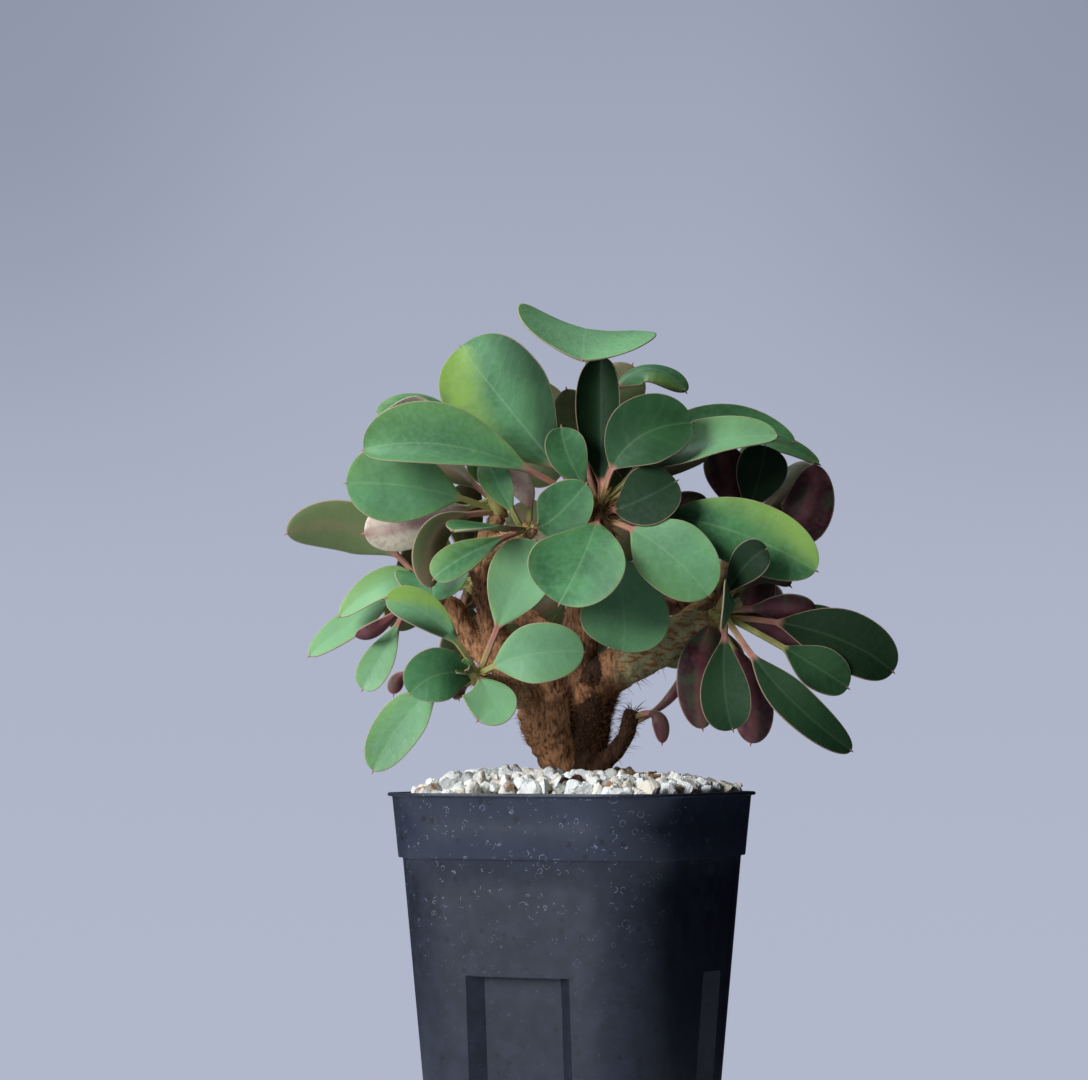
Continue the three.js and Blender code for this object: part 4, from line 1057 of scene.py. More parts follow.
# In each reading a ripe below zero is painted shade, and pale is painted light.
ROSETTES = [
    Rosette("crown", (8, 80, 10), (0, 0.8, 0.5),
            [(-1, 24, 0, 6.5), (1, 42, -1, 5.6), (5, 58, 1, 5), (8, 69, 4, 4.8)], [
        Reading("A1", (-12.8, 103, 7), (-32.5, 127.8, 2), (-0.13, -0.06, 0.95), 29.9, 0.12, 0.23, 0.49, 0.75),
        Reading("A2", (-20, 95, 20), (-60.3, 98, 24), (0, 0.6, 0.8), 22, 0.42, 0.3, 0.6, 0.12, pale=0.1),
        Reading("T2", (8, 97, 10), (8, 124.4, 6), (-0.2, 0, 1), 12.8, 0.9, 0.2, 0.6, -0.9),
        Reading("T3", (13.5, 96.5, 17), (34, 105.8, 14), (-0.1, 0.25, 0.96), 20.8, 0.3, 0.28, 0.52, -0.55),
        Reading("T4", (24.5, 94.8, 12), (58.5, 102, 8), (-0.1, 0.71, 0.65),
                17, 0.3, 0.3, 0.46, 0.1, pale=0.4),
        Reading("T5", (28, 101.5, 0), (63.4, 100.1, -6), (0, 0.6, 0.8), 11.5, 0.2, 0.25, 0.4, -0.3),
        Reading("T7", (3, 96, 2), (-2, 115.5, -3), (0, 0.3, -0.95), 11, 0.2, 0.3, 0.6, 0.2),
        Reading("T8", (1, 91, 13.5), (-3.5, 104.5, 15), (0, 0, 1), 11.5, 0.2, 0.25, 0.6, -0.3),
        Reading("C2", (4, 70, 27), (-4, 53.8, 38), (0, 0.65, 0.76), 27, 0.2, 0.15, 0.6, -0.12),
        Reading("C3", (13, 62, 15), (14, 40, 20), (0.1, 0.35, 0.93), 25, 0.15, 0.25, 0.6, 0, pale=0.3),
        Reading("D1", (20.5, 73, 21), (38.8, 56.2, 27), (0, 0.3, 0.95),
                21.5, 0.15, 0.28, 0.52, 0.1, pale=0.25),
        Reading("D2", (32.5, 78, 14), (69.5, 63.3, 16), (0, 0.25, 0.97), 20.2, 0.2, 0.28, 0.57, 0.42, DUSKY),
        Reading("R1", (15.5, 82, 17), (29.5, 89, 19), (0, 0.2, 1), 17, 0.2, 0.22, 0.6, -0.85),
        Reading("R2", (22, 90, 4), (39, 97, 0), (0, 0.6, -0.8), 8, 0.3, 0.35, 0.6, 0.1, DUSKY),
        Reading("R3", (24, 83, 5), (38, 81.5, -2), (0.1, 0.5, -0.85), 7, 0.2, 0.35, 0.6, 0.1, PURPLE),
    ], woody=True),
    Rosette("left_mid", (-13, 75, 15), (0.45, 0.5, 0.7),
            [(-26, 66, 4, 2.4), (-21, 72, 9, 2.3)], [
        Reading("A6", (-19, 83, 18), (-25, 95.5, 14), (-0.2, 0, 1), 9, 0.2, 0.3, 0.6, 0.1),
        Reading("A7", (-13, 83, 12), (-21, 93.3, 9), (0, 0.2, -1), 7, 0.1, 0.3, 0.6, 0.2, BANDED),
        Reading("A11", (-23, 75.5, 28), (-34.5, 74.7, 40), (0, 1, 0.25), 14, 0.2, 0.2, 0.6, 0),
        Reading("A19", (-27, 69.5, 23), (-40, 61, 26), (-0.1, 0.45, 0.9), 10.5, 0.2, 0.2, 0.6, 0.2),
        Reading("C1", (-7.5, 77, 16), (3.7, 88.3, 20), (0, 0, 1), 15.5, 0.15, 0.15, 0.6, -0.25),
    ], woody=True),
    Rosette("left_upper", (-22, 82, 6), (-0.3, 0.9, 0.2),
            [(-26.3, 64, 3, 2.6), (-25.5, 72, 5, 2.6)], [
        Reading("A3", (-38.5, 85.8, 11), (-65.3, 88.4, 14), (0, 0.1, 1), 22, 0.12, 0.26, 0.6, 0.15, pale=0.2),
        Reading("A4", (-34, 106, -6), (-56, 108, -8), (0.1, 0.96, 0.1), 14.8, 0.2, 0.4, 0.58, 0.15, BANDED),
        Reading("A5", (-30, 89, 0), (-42, 94.5, -4), (0, 0.3, -0.95), 7, 0.15, 0.3, 0.6, 0.1, DUSKY),
        Reading("A5b", (-26, 89, 7), (-28.5, 96.5, 8), (0, 0, 1), 5.5, 0.2, 0.3, 0.6, 0.7),
        Reading("A9", (-38, 79, 3), (-60, 74, 2), (0, 0.5, -0.85),
                16.5, 0.15, 0.2, 0.6, 0.2, BANDED, pale=0.3),
        Reading("A12", (-36, 77, 15), (-41, 58.5, 20), (-0.4, 0.2, -0.9), 10, 0.15, 0.2, 0.6, 0.2, DUSKY),
    ]),
    Rosette("left_low", (-28, 33, 28), (-0.4, 0.4, 0.8),
            [(-9, 26, 4, 4.5), (-17, 29, 14, 3.4)], [
        Reading("A17", (-36, 45.5, 31), (-53.8, 55.2, 33), (0.2, 0.35, 0.9),
                11, 0.2, 0.3, 0.6, 0.75, BANDED, pale=0.4),
        Reading("C4", (-21, 49, 31), (-11, 71.5, 27), (0, -0.1, 1), 17.5, 0.12, 0.35, 0.6, 0.15, pale=0.6),
        Reading("C6", (-17, 38, 35), (2.8, 40, 34), (0, 0.1, 1), 16.5, 0.12, 0.2, 0.5, 0, pale=0.4),
        Reading("C7", (-24.4, 28.2, 34), (-27.4, 20.4, 41), (0.1, 0.55, 0.83),
                15.2, 0.12, 0.1, 0.6, 0.1, pale=0.55),
        Reading("C8", (-41.5, 27.6, 30), (-57.3, 6, 33), (-0.1, 0.26, 0.95),
                13.5, 0.15, 0.33, 0.53, 0.15, pale=0.35),
        Reading("C9", (-35.5, 34, 35), (-46.8, 28, 38), (0, 0.11, 1), 15.1, 0.12, 0.07, 0.57, -0.3),
        Reading("C10", (-31.5, 30, 26), (-33, 26.6, 27), (0, 0.2, -1), 3.4, 0.2, 0.3, 0.6, 0, PURPLE),
        Reading("C11", (-43, 35, 24), (-51.6, 28, 23), (0, 0.3, -1), 4.2, 0.2, 0.6, 0.6, 0, PURPLE),
    ]),
    Rosette("left_far", (-43, 58, -8), (-0.7, 0.7, 0),
            [(-16, 36, -4, 4.5), (-25, 39, -9, 3.6), (-31, 46, -11, 3.2), (-35, 53, -10, 3)], [
        Reading("A8", (-56.5, 72.2, -9), (-82.2, 73.9, -8), (0.2, 0.26, -0.93), 15, 0.15, 0.25, 0.4, 0.1),
        Reading("A10", (-50.3, 60.3, -3), (-66.9, 50.2, 0), (0.1, 0.6, 0.75),
                10, 0.2, 0.1, 0.37, 0.25, pale=0.6),
        Reading("A14", (-56.5, 52.3, -8), (-75.6, 38.9, -6), (-0.3, 0.4, 0.85),
                9.5, 0.15, 0.28, 0.45, 0.1, pale=0.5),
        Reading("A15", (-52, 50, 2), (-62.3, 44.6, 3), (0, 0.4, -0.9), 4.5, 0.2, 0.3, 0.6, 0, PURPLE),
        Reading("A16", (-52.3, 44, -1), (-60.4, 29.3, 2), (-0.2, 0.16, 0.96),
                9.4, 0.15, 0.29, 0.57, 0.1, pale=0.5),
        Reading("A18", (-41, 62, 3), (-40, 54.5, 15), (0, 0.8, 0.6), 21, 0.15, 0.1, 0.6, 0),
    ]),
    Rosette("right", (42, 51, 8), (0.85, 0.45, 0.3),
            [(3.8, 26, 1, 6), (9, 33, 1, 6.4), (18, 38, 2, 6), (26, 42.2, 4, 5.8),
             (33, 46.8, 6, 5.2)], [
        Reading("D3", (46.5, 61, 19), (55.5, 69.5, 24), (-0.3, 0, 0.95), 10.5, 0.15, 0.25, 0.6, -1, PURPLE),
        Reading("D3b", (44, 57.5, 22), (42.4, 46.6, 29), (0.9, 0.2, 0.3), 8, 0.1, 0.25, 0.6, 0.1, PURPLE),
        Reading("D4", (51, 60.5, 5), (62, 59, 2), (0, 0.5, -0.85), 6, 0.2, 0.25, 0.6, 0.1, DUSKY),
        Reading("D5", (55, 52.5, 12), (69.1, 51, 10), (0, 0.4, -0.9), 8.6, 0.15, 0.25, 0.6, 0.1, PURPLE),
        Reading("D6", (59.5, 50, 3), (76.5, 49.7, 0), (0, 0.7, 0.7), 10, 0.15, 0.3, 0.6, 0, PURPLE),
        Reading("D7", (65, 47, 14), (91.4, 34.3, 13), (0, 0.3, 0.95), 17.8, 0.2, 0.28, 0.54, -0.95, PURPLE),
        Reading("D8", (53.5, 49, 8), (63, 40, 4), (0.4, 0.3, -0.85), 9.5, 0.2, 0.2, 0.6, 0, PURPLE),
        Reading("D9", (59.5, 41.5, 17), (78.4, 29.7, 20), (0.1, 0.4, 0.9),
                13.4, 0.15, 0.42, 0.52, -0.7, PURPLE),
        Reading("D10", (54.5, 34.6, 26), (79.3, 11.8, 26), (0.14, 0.2, 0.97),
                11.2, 0.15, 0.3, 0.47, -0.8, PURPLE),
        Reading("D11", (43, 36, 21), (45.5, 17.8, 25), (-0.1, 0.1, 1), 14, 0.2, 0.2, 0.6, -0.8, PURPLE),
        Reading("D12", (48.5, 35, 10), (50.7, 13.9, 10), (0.2, 0, -1), 11.6, 0.15, 0.22, 0.6, 0, PURPLE),
        Reading("D13", (37, 38.5, 12), (36.9, 18.1, 12), (-0.16, 0, -1), 13, 0.15, 0.08, 0.48, 0, PURPLE),
    ]),
    Rosette("right_upper", (48, 76, -12), (0.2, 0.95, -0.1),
            [(30, 46, 4, 3.8), (38, 54, -5, 3), (44, 64, -11, 2.8)], [
        Reading("R4", (45, 86, -12), (42, 99, -12), (0, 0.1, -1), 12, 0.15, 0.2, 0.6, 0, PURPLE),
        Reading("R5", (52, 86, -5), (55, 99, -4), (0.2, 0, 0.98), 15, 0.15, 0.2, 0.6, -1, PURPLE),
        Reading("R6", (50, 95.5, -16), (70.4, 94, -14), (0, 0.8, 0.6), 8.5, 0.2, 0.25, 0.42, 0.05, DUSKY),
        Reading("R7", (61.8, 75.5, -12), (69, 93.8, -12), (0.2, 0, -1), 15, 0.15, 0.25, 0.45, 0, PURPLE),
    ], far=FarSide(3, 28, 14, (0.5, -0.05, -0.9), 354, (PURPLE, DUSKY))),
    Rosette("top_back", (4, 104, -14), (0, 1, -0.1),
            [(6, 62, 0, 3.6), (4, 80, -9, 3.4), (4, 92, -13, 3)], [
        Reading("T1", (4, 128.1, -7), (2.5, 123.9, 26), (0.155, 0.89, 0.45),
                40.1, 0.19, 0.5, 0.6, 0, pale=0.35),
        Reading("T6", (15.5, 118.8, -14), (32.2, 114.9, -8), (0.1, 0.8, 0.5), 13, -0.2, 0.3, 0.42, 0.35),
    ], far=FarSide(6, 28, 16, (0, -0.25, -1), 66)),
    Rosette("stub", (16.6, 21.7, 7), (0.3, 0.95, 0),
            [(5.5, 5.5, 5, 3), (11, 10.5, 7, 2.5), (14.8, 16, 7, 2.3)], [
        Reading("D14", (24.5, 24, 8), (33, 36, 8), (0, 0, -1), 2.8, 0.1, 0.3, 0.6, 0, PURPLE),
        Reading("S1", (22.3, 22.3, 11), (25.3, 14, 12), (0, 0, -1), 4.4, 0.1, 0.35, 0.6, 0, PURPLE),
    ], woody=True),
    Rosette("back_left", (-29, 59, -36), (-0.6, 0.4, -0.8),
            [(-4, 40, -2, 4), (-14, 50, -20, 3.2)],
            far=FarSide(6, 30, 17, (-0.7, 0.2, -0.7), 54)),
    Rosette("back_mid", (3, 62, -46), (0, 0.3, -1),
            [(3, 48, -2, 4), (4, 56, -22, 3.2)],
            far=FarSide(6, 31, 16, (0, -0.05, -1), 354)),
    Rosette("back_right", (34.5, 54, -35), (0.6, 0.3, -0.8),
            [(4, 46, 0, 3.8), (16, 52, -16, 3.2)],
            far=FarSide(6, 29, 16, (0.7, -0.05, -0.7), 354, (PURPLE, DUSKY))),
    Rosette("back_low", (-2, 30, -36), (-0.1, 0.1, -1),
            [(0, 22, -4, 4.5), (-1, 27, -20, 3.4)],
            far=FarSide(5, 27, 13, (-0.1, 0.4, -1), 204)),
]


@dataclass
class Limb:
    """A stretch of stem through knots of across, up, near and radius."""

    knots: list[Knot]
    youth: float = 0.0
    # How much painted shade its bark takes, from 0 to 1.
    shade: float = 0.0

    SIDES = 20
    STEP_MM = 1.0
    KNOB = 0.06

    def path(self, count: int) -> tuple[np.ndarray, np.ndarray, np.ndarray]:
        """Draws a smooth line through the knots.

        Args:
            count: how many points it has.

        Returns:
            The points, and the unit direction and the radius at each.
        """
        places = np.array([seen(*knot[:3]) for knot in self.knots])
        radii = np.array([knot[3] for knot in self.knots])
        padded = np.vstack([2 * places[0] - places[1], places, 2 * places[-1] - places[-2]])
        t = np.linspace(0, len(places) - 1, count)
        low = np.minimum(t.astype(int), len(places) - 2)
        u = (t - low)[:, None]
        p0, p1, p2, p3 = (padded[low + k] for k in range(4))
        points = 0.5 * (2 * p1 + (p2 - p0) * u + (2 * p0 - 5 * p1 + 4 * p2 - p3) * u ** 2
                        + (3 * p1 - p0 - 3 * p2 + p3) * u ** 3)
        tangents = unit(np.gradient(points, axis=0))
        return points, tangents, np.interp(t, np.arange(len(radii)), radii)

    def length(self) -> float:
        """Returns the limb's rough length in millimetres."""
        places = np.array([seen(*knot[:3]) for knot in self.knots])
        return float(np.linalg.norm(np.diff(places, axis=0), axis=1).sum())

    def tube(self, draft: Draft) -> None:
        """Adds the limb's closed, slightly knobbed tube.

        Args:
            draft: the wood's mesh.
        """
        count = max(6, int(self.length() / self.STEP_MM))
        points, tangents, radii = self.path(count)
        knob = self.KNOB * np.sin(np.arange(count) * 1.1)[:, None] * np.sin(2 * full_turn(self.SIDES) + 0.7)
        rings = tube_rings(points, tangents, (0.13, 0.98, 0.11), radii[:, None] * (1 + knob), self.SIDES)
        draft.add(rings.reshape(-1, 3), ring_faces(count, self.SIDES))


@dataclass
class Trunk:
    """Trunk and branches, with bark relief, fuzz and stipule bristles."""

    lobes: list[Limb] = field(default_factory=lambda: [
        Limb([(-3, -24, 0, 4.5), (-3, 0, 1, 6), (-3.2, 8, 2, 6.4), (-5, 14, 2.5, 7.2),
              (-6.6, 18, 3, 8), (-7.6, 23, 3, 8.3), (-9, 29, 2, 7.6), (-13, 34, 0, 6),
              (-18, 39, -1, 4.8), (-22, 43, -1, 4), (-24.5, 51, 0, 3.2), (-26.5, 60, 2, 2.8),
              (-26, 69, 5, 2.7)]),
        Limb([(3.4, -24, 0, 4.4), (3.5, 5, 2, 6.2), (3.8, 14, 2, 6.1), (4.1, 20, 2, 6.2),
              (5.2, 27, 1, 6.8), (7, 33, 1, 7)], shade=0.92),
        Limb([(0, -24, -3, 4.5), (0, 10, -4, 7.4), (-2, 22, -4, 9), (-1, 33, -3, 8.6)], shade=0.75),
    ])
    voxel_mm: float = 0.55
    relief_mm: float = 0.45
    relief_size_mm: float = 2.4
    relief_drawn_out: float = 0.45
    old_within_mm: float = 11.0
    young_over_mm: float = 8.0
    youth_of: dict[str, float] = field(default_factory=lambda: {
        "left_mid": 0.3, "left_upper": 0.3, "left_low": 0.3, "left_far": 0.1, "right": 1.0,
        "right_upper": 0.5})
    # Painted shade on the stems of these rosettes.
    shade_of: dict[str, float] = field(default_factory=lambda: {"stub": 0.85, "crown": 0.5})

    def limbs(self) -> list[Limb]:
        """Gathers the wood.

        Returns:
            The trunk's lobes and each rosette's stem.
        """
        stems = [Limb(r.knots(), self.youth_of.get(r.name, 0.0), self.shade_of.get(r.name, 0.0))
                 for r in ROSETTES]
        return [*self.lobes, *stems]

    def build(self, bark: bpy.types.Material, hair: bpy.types.Material) -> None:
        """Builds the wood and its bristles, and puts them in the frame.

        Args:
            bark: the wood's finish.
            hair: the bristles' finish.
        """
        draft = Draft()
        for limb in self.limbs():
            limb.tube(draft)
        wood = draft.make("trunk_wood", bark)
        self.blend_limbs(wood)
        self.carve(wood)
        put_in_frame(wood, "bark", "trunk_and_branches")
        bristles = Bristles().grow(self, hair)
        put_in_frame(bristles, "bark")

    def blend_limbs(self, wood: bpy.types.Object) -> None:
        """Melts the limbs' tubes into one skin.

        Args:
            wood: the tubes' object.
        """
        remesh = wood.modifiers.new("skin", "REMESH")
        remesh.mode = "VOXEL"
        remesh.voxel_size = self.voxel_mm * MM
        smooth = wood.modifiers.new("ease", "SMOOTH")
        smooth.factor = 0.5
        smooth.iterations = 3
        apply_modifiers(wood)

    def carve(self, wood: bpy.types.Object) -> None:
        """Raises the bark's relief and marks how young each place is and how much painted shade it takes.

        Args:
            wood: the skin's object.
        """
        mesh = wood.data
        co = np.zeros(len(mesh.vertices) * 3)
        mesh.vertices.foreach_get("co", co)
        co = co.reshape(-1, 3)
        normals = np.zeros(len(co) * 3)
        mesh.vertices.foreach_get("normal", normals)
        normals = normals.reshape(-1, 3)
        youth, shade, nearest = np.zeros(len(co)), np.zeros(len(co)), np.full(len(co), np.inf)
        for limb in self.limbs():
            points, _, _ = limb.path(30)
            away = np.min(np.linalg.norm(co[:, None] - points[None] * MM, axis=2), axis=1)
            closer = away < nearest
            nearest[closer] = away[closer]
            youth[closer] = limb.youth
            shade[closer] = limb.shade
        # The wood is old and brown near the pot's axis.
        away = np.hypot(co[:, 0], co[:, 1]) / MM
        youth *= np.clip((away - self.old_within_mm) / self.young_over_mm, 0, 1)
        for key, values in (("youth", youth), ("shade", shade)):
            attribute = mesh.attributes.new(key, "FLOAT", "POINT")
            attribute.data.foreach_set("value", values.astype(np.float32))
        # Ridges run up the trunk, so the noise is stretched along Z.
        scale = across_mm(self.relief_size_mm)
        places = co * (1.0, 1.0, self.relief_drawn_out)
        rise = np.array([noise.fractal(Vector(place) * scale, 0.8, 2.0, 4) for place in places])
        co += normals * (rise * self.relief_mm * MM)[:, None]
        mesh.vertices.foreach_set("co", co.ravel())
        mesh.polygons.foreach_set("use_smooth", [True] * len(mesh.polygons))
        mesh.update()


@dataclass
class Bristles:
    """Hairs and stipule bristles, as slim bent cones rooted in the bark."""

    seed: int = 11
    root_mm: float = 0.6

    FUZZ_MM = 1.9
    # How many stand round a growing tip, their least and greatest length, and how orange they are.
    TUFTS = {
        "crown": (300, (3.5, 9.0), 0.9),
        "right": (150, (2.5, 6.0), 1.0),
        "left_low": (110, (1.5, 4.0), 1.1),
        "left_mid": (60, (1.0, 2.2), 0.3),
        "stub": (90, (1.5, 3.6), 0.1),
    }
    PLAIN_TUFT = (30, (2.0, 4.0), 0.7)
    # Fuzz and then long bristles: how many, or how many a millimetre on a branch, the shares of the
    # limb between which they stand, their least and greatest length, their girth and how orange they are.
    ON_TRUNK = ((5200, (0.3, 1.0), (0.5, 1.8), 0.07, 0.7), (260, (0.4, 1.0), (2.0, 4.6), 0.08, 0.4))
    ON_BRANCH = ((10, (0.1, 0.98), (0.6, 1.6), 0.06, 0.75), (1.6, (0.25, 0.99), (2.2, 4.5), 0.09, 0.7))
    CONE = [(0, 2, 1), (0, 1, 3), (1, 2, 3), (2, 0, 3)]
    ROUND = full_turn(3)

    def one(self, draft: Draft, base: np.ndarray, way: np.ndarray, length: float, girth: float,
            tone: float) -> None:
        """Adds one bristle.

        Args:
            draft: the bristles' mesh.
            base: where it stands.
            way: its unit direction.
            length: its length in millimetres.
            girth: its root radius in millimetres.
            tone: how orange it is, from 0 to 1.
        """
        side, other = sides_of(way, (0.53, 0.29, 0.79))
        circle = turned(side, other, self.ROUND)
        if length < self.FUZZ_MM:
            points = np.vstack([base - way * 0.3 + circle * girth, base + way * length])
            draft.add(points, self.CONE, along=np.array([0.0, 0.0, 0.0, 1.0]), seed=tone)
            return
        bow = side * length * 0.08
        rings = np.concatenate([base - way * self.root_mm + circle * girth,
                                base + way * length * 0.55 + bow + circle * girth * 0.6,
                                base + way * length + circle * girth * 0.12])
        draft.add(rings, ring_faces(3, 3), along=np.repeat([0.0, 0.5, 1.0], 3), seed=tone)

    def on_limb(self, draft: Draft, limb: Limb, rng: np.random.Generator, count: int,
                span: tuple[float, float], length: tuple[float, float], girth: float, tone: float) -> None:
        """Scatters bristles on a limb.

        Args:
            draft: the bristles' mesh.
            limb: what they stand on.
            rng: the random draw.
            count: how many.
            span: the shares of the limb between which they stand.
            length: their least and greatest length in millimetres.
            girth: their root radius in millimetres.
            tone: how orange they are, from 0 to 1.
        """
        points, tangents, radii = limb.path(200)
        for _ in range(count):
            k = int(rng.uniform(*span) * 199)
            out = unit(np.cross(tangents[k], rng.normal(size=3)))
            way = unit(out + tangents[k] * rng.uniform(-0.1, 0.7) + rng.normal(size=3) * 0.2)
            base = points[k] + out * radii[k]
            self.one(draft, base, way, rng.uniform(*length), girth * rng.uniform(0.7, 1.2),
                     tone * rng.uniform(0.5, 1.0))

    def tuft(self, draft: Draft, rosette: Rosette, rng: np.random.Generator, count: int,
             length: tuple[float, float], tone: float) -> None:
        """Stands bristles out all round a growing tip.

        Args:
            draft: the bristles' mesh.
            rosette: whose tip it is.
            rng: the random draw.
            count: how many.
            length: their least and greatest length in millimetres.
            tone: how orange they are, from 0 to 1.
        """
        centre, axis = seen(*rosette.centre), heading(*rosette.axis)
        for _ in range(count):
            way = unit(rng.normal(size=3) + axis * 0.35 + heading(0, 0, 1) * 0.45)
            base = centre + axis * rng.uniform(-4.5, 2.0) + way * rosette.CORE_RADIUS * 0.85
            self.one(draft, base, way, rng.uniform(*length), rng.uniform(0.09, 0.15),
                     tone * rng.uniform(0.4, 1.1))

    def grow(self, trunk: Trunk, hair: bpy.types.Material) -> bpy.types.Object:
        """Builds all the bristles of the plant.

        Args:
            trunk: what they stand on.
            hair: their finish.

        Returns:
            The object.
        """
        rng = np.random.default_rng(self.seed)
        draft = Draft()
        for lobe in trunk.lobes:
            for count, *kind in self.ON_TRUNK:
                self.on_limb(draft, lobe, rng, count, *kind)
        for rosette in ROSETTES:
            limb = Limb(rosette.knots())
            for each_mm, *kind in self.ON_BRANCH:
                self.on_limb(draft, limb, rng, int(limb.length() * each_mm), *kind)
            self.tuft(draft, rosette, rng, *self.TUFTS.get(rosette.name, self.PLAIN_TUFT))
        return draft.make("stem_bristles", hair)


def apply_modifiers(piece: bpy.types.Object) -> None:
    """Bakes a piece's modifiers into its mesh.

    Args:
        piece: the object.
    """
    graph = bpy.context.evaluated_depsgraph_get()
    mesh = bpy.data.meshes.new_from_object(piece.evaluated_get(graph))
    old = piece.data
    piece.modifiers.clear()
    piece.data = mesh
    bpy.data.meshes.remove(old)


@dataclass
class Pot:
    """Square nursery pot with round corners, a lip, a band under it and a recess in each wall."""

    lip_half: float = 45.0
    lip_thick: float = 1.0
    band_depth: float = 18.3
    band_top_half: float = 43.9
    band_foot_half: float = 42.4
    wall_top_half: float = 41.3
    wall_foot_half: float = 34.5
    corner_share: float = 0.47
    corner_steps: int = 14
    wall: float = 1.4
    floor: float = 1.8
    panel_top: float = POT_HEIGHT - 50.7
    panel_foot: float = 9.0
    panel_half: float = 15.7
    panel_floor_half: float = 11.6
    panel_depth: float = 3.6
    drain_radius: float = 4.0
    drain_offset: float = 17.0
    drain_sides: int = 32

    def band_foot(self) -> float:
        """Returns the height of the band's lower edge."""
        return POT_HEIGHT - self.band_depth

    def outside(self) -> list[tuple[float, float]]:
        """Draws the outer wall, with small rounds at its edges.

        Returns:
            Heights and half widths, going up.
        """
        foot = self.band_foot()
        under_lip = POT_HEIGHT - self.lip_thick
        wall = [(z, np.interp(z, [0, foot], [self.wall_foot_half, self.wall_top_half]))
                for z in self.wall_heights()]
        return [
            (0.0, self.wall_foot_half - 1.2), (0.25, self.wall_foot_half - 0.5),
            (0.9, self.wall_foot_half - 0.05),
            *wall,
            (foot - 0.15, self.wall_top_half), (foot, self.wall_top_half + 0.1),
            (foot + 0.1, self.band_foot_half - 0.15), (foot + 0.35, self.band_foot_half),
            (foot + 9, (self.band_foot_half + self.band_top_half) / 2),
            (under_lip - 0.25, self.band_top_half - 0.02), (under_lip - 0.05, self.band_top_half + 0.15),
            (under_lip, self.lip_half - 0.3), (under_lip + 0.3, self.lip_half),
            (POT_HEIGHT - 0.3, self.lip_half), (POT_HEIGHT, self.lip_half - 0.3),
        ]

    def wall_heights(self) -> list[float]:
        """Places the wall's rows, close together at the recess's ends.

        Returns:
            Their heights, going up.
        """
        top, low = self.panel_top, self.panel_foot
        return [2.0, 5.0, low - 0.5, low - 0.15, low + 0.15, low + 1.0, low + 3.0, 22.0, 32.0, 42.0,
                top - 2.0, top - 0.6, top - 0.15, top + 0.12, top + 0.5, 58.0, 68.0, 78.0]

    def inside(self) -> list[tuple[float, float]]:
        """Draws the inner wall to the floor.

        Returns:
            Heights and half widths, going down.
        """
        rows = [(z, half - self.wall) for z, half in self.outside() if self.floor < z < POT_HEIGHT - 0.2]
        mouth = self.band_top_half - self.wall
        lip = [(POT_HEIGHT, mouth + 0.3), (POT_HEIGHT - 0.4, mouth)]
        kept = [(z, half) for z, half in rows if z < self.band_foot() - 0.2 or half < mouth]
        return [*lip, *reversed(kept), (self.floor, self.wall_foot_half - self.wall)]

    def flats(self) -> np.ndarray:
        """Places the points across one flat face, close together at the recess's edges.

        Returns:
            Their distances from its middle, from left to right.
        """
        edges = [self.panel_half + 1.2, self.panel_half + 0.35, self.panel_half, self.panel_half - 0.4,
                 self.panel_floor_half + 0.4, self.panel_floor_half, self.panel_floor_half - 0.4, 6.0]
        return np.array([-e for e in edges] + [0.0] + list(reversed(edges)))

    def ring(self, half: float, z: float, inner: float) -> np.ndarray:
        """Returns one round of the wall.

        Args:
            half: half width of the square.
            z: its height.
            inner: how far the recess's inner skin stands in from the outer one.

        Returns:
            The points, anticlockwise from above.
        """
        radius = min(half * self.corner_share, half - self.panel_half - 1.3)
        angles = np.linspace(-np.pi / 2, 0, self.corner_steps)
        flat = self.flats()
        dent = self.recess(flat, z, inner)
        front = np.stack([flat, -half + dent], axis=1)
        corner = np.stack([half - radius + radius * np.cos(angles),
                           -(half - radius) + radius * np.sin(angles)], axis=1)
        quarter = np.concatenate([front, corner])
        points = []
        for turn in range(4):
            c, s = math.cos(turn * math.pi / 2), math.sin(turn * math.pi / 2)
            points.append(quarter @ np.array([[c, s], [-s, c]]))
        flat_ring = np.concatenate(points)
        return np.column_stack([flat_ring, np.full(len(flat_ring), z)])

    def recess(self, flat: np.ndarray, z: float, inner: float) -> np.ndarray:
        """Returns how deep the recess is at places across a face, at height z.

        Args:
            flat: the places.
            z: the height.
            inner: how much the inner skin's recess is grown.

        Returns:
            The depths.
        """
        grown = inner * 0.6
        down = np.interp(z, [self.panel_foot - grown - 0.15, self.panel_foot - grown + 1.0,
                             self.panel_top + grown - 0.15, self.panel_top + grown + 0.12], [0, 1, 1, 0])
        across = np.interp(np.abs(flat), [self.panel_floor_half + grown, self.panel_half + grown], [1, 0])
        return self.panel_depth * down * across

    def build(self, plastic: bpy.types.Material) -> None:
        """Builds the pot and puts it in the frame.

        Args:
            plastic: its finish.
        """
        rows = [self.ring(half, z, 0.0) for z, half in self.outside()]
        rows += [self.ring(half, z, self.wall) for z, half in self.inside()]
        points = np.concatenate(rows)
        points[:, :2] = with_pot(points[:, :2])
        height = points[:, 2] / POT_HEIGHT
        draft = Draft()
        draft.add(points, ring_faces(len(rows), len(rows[0])), height=height)
        piece = draft.make("nursery_pot", plastic)
        self.drill(piece)
        put_in_frame(piece, "pot", "pot")

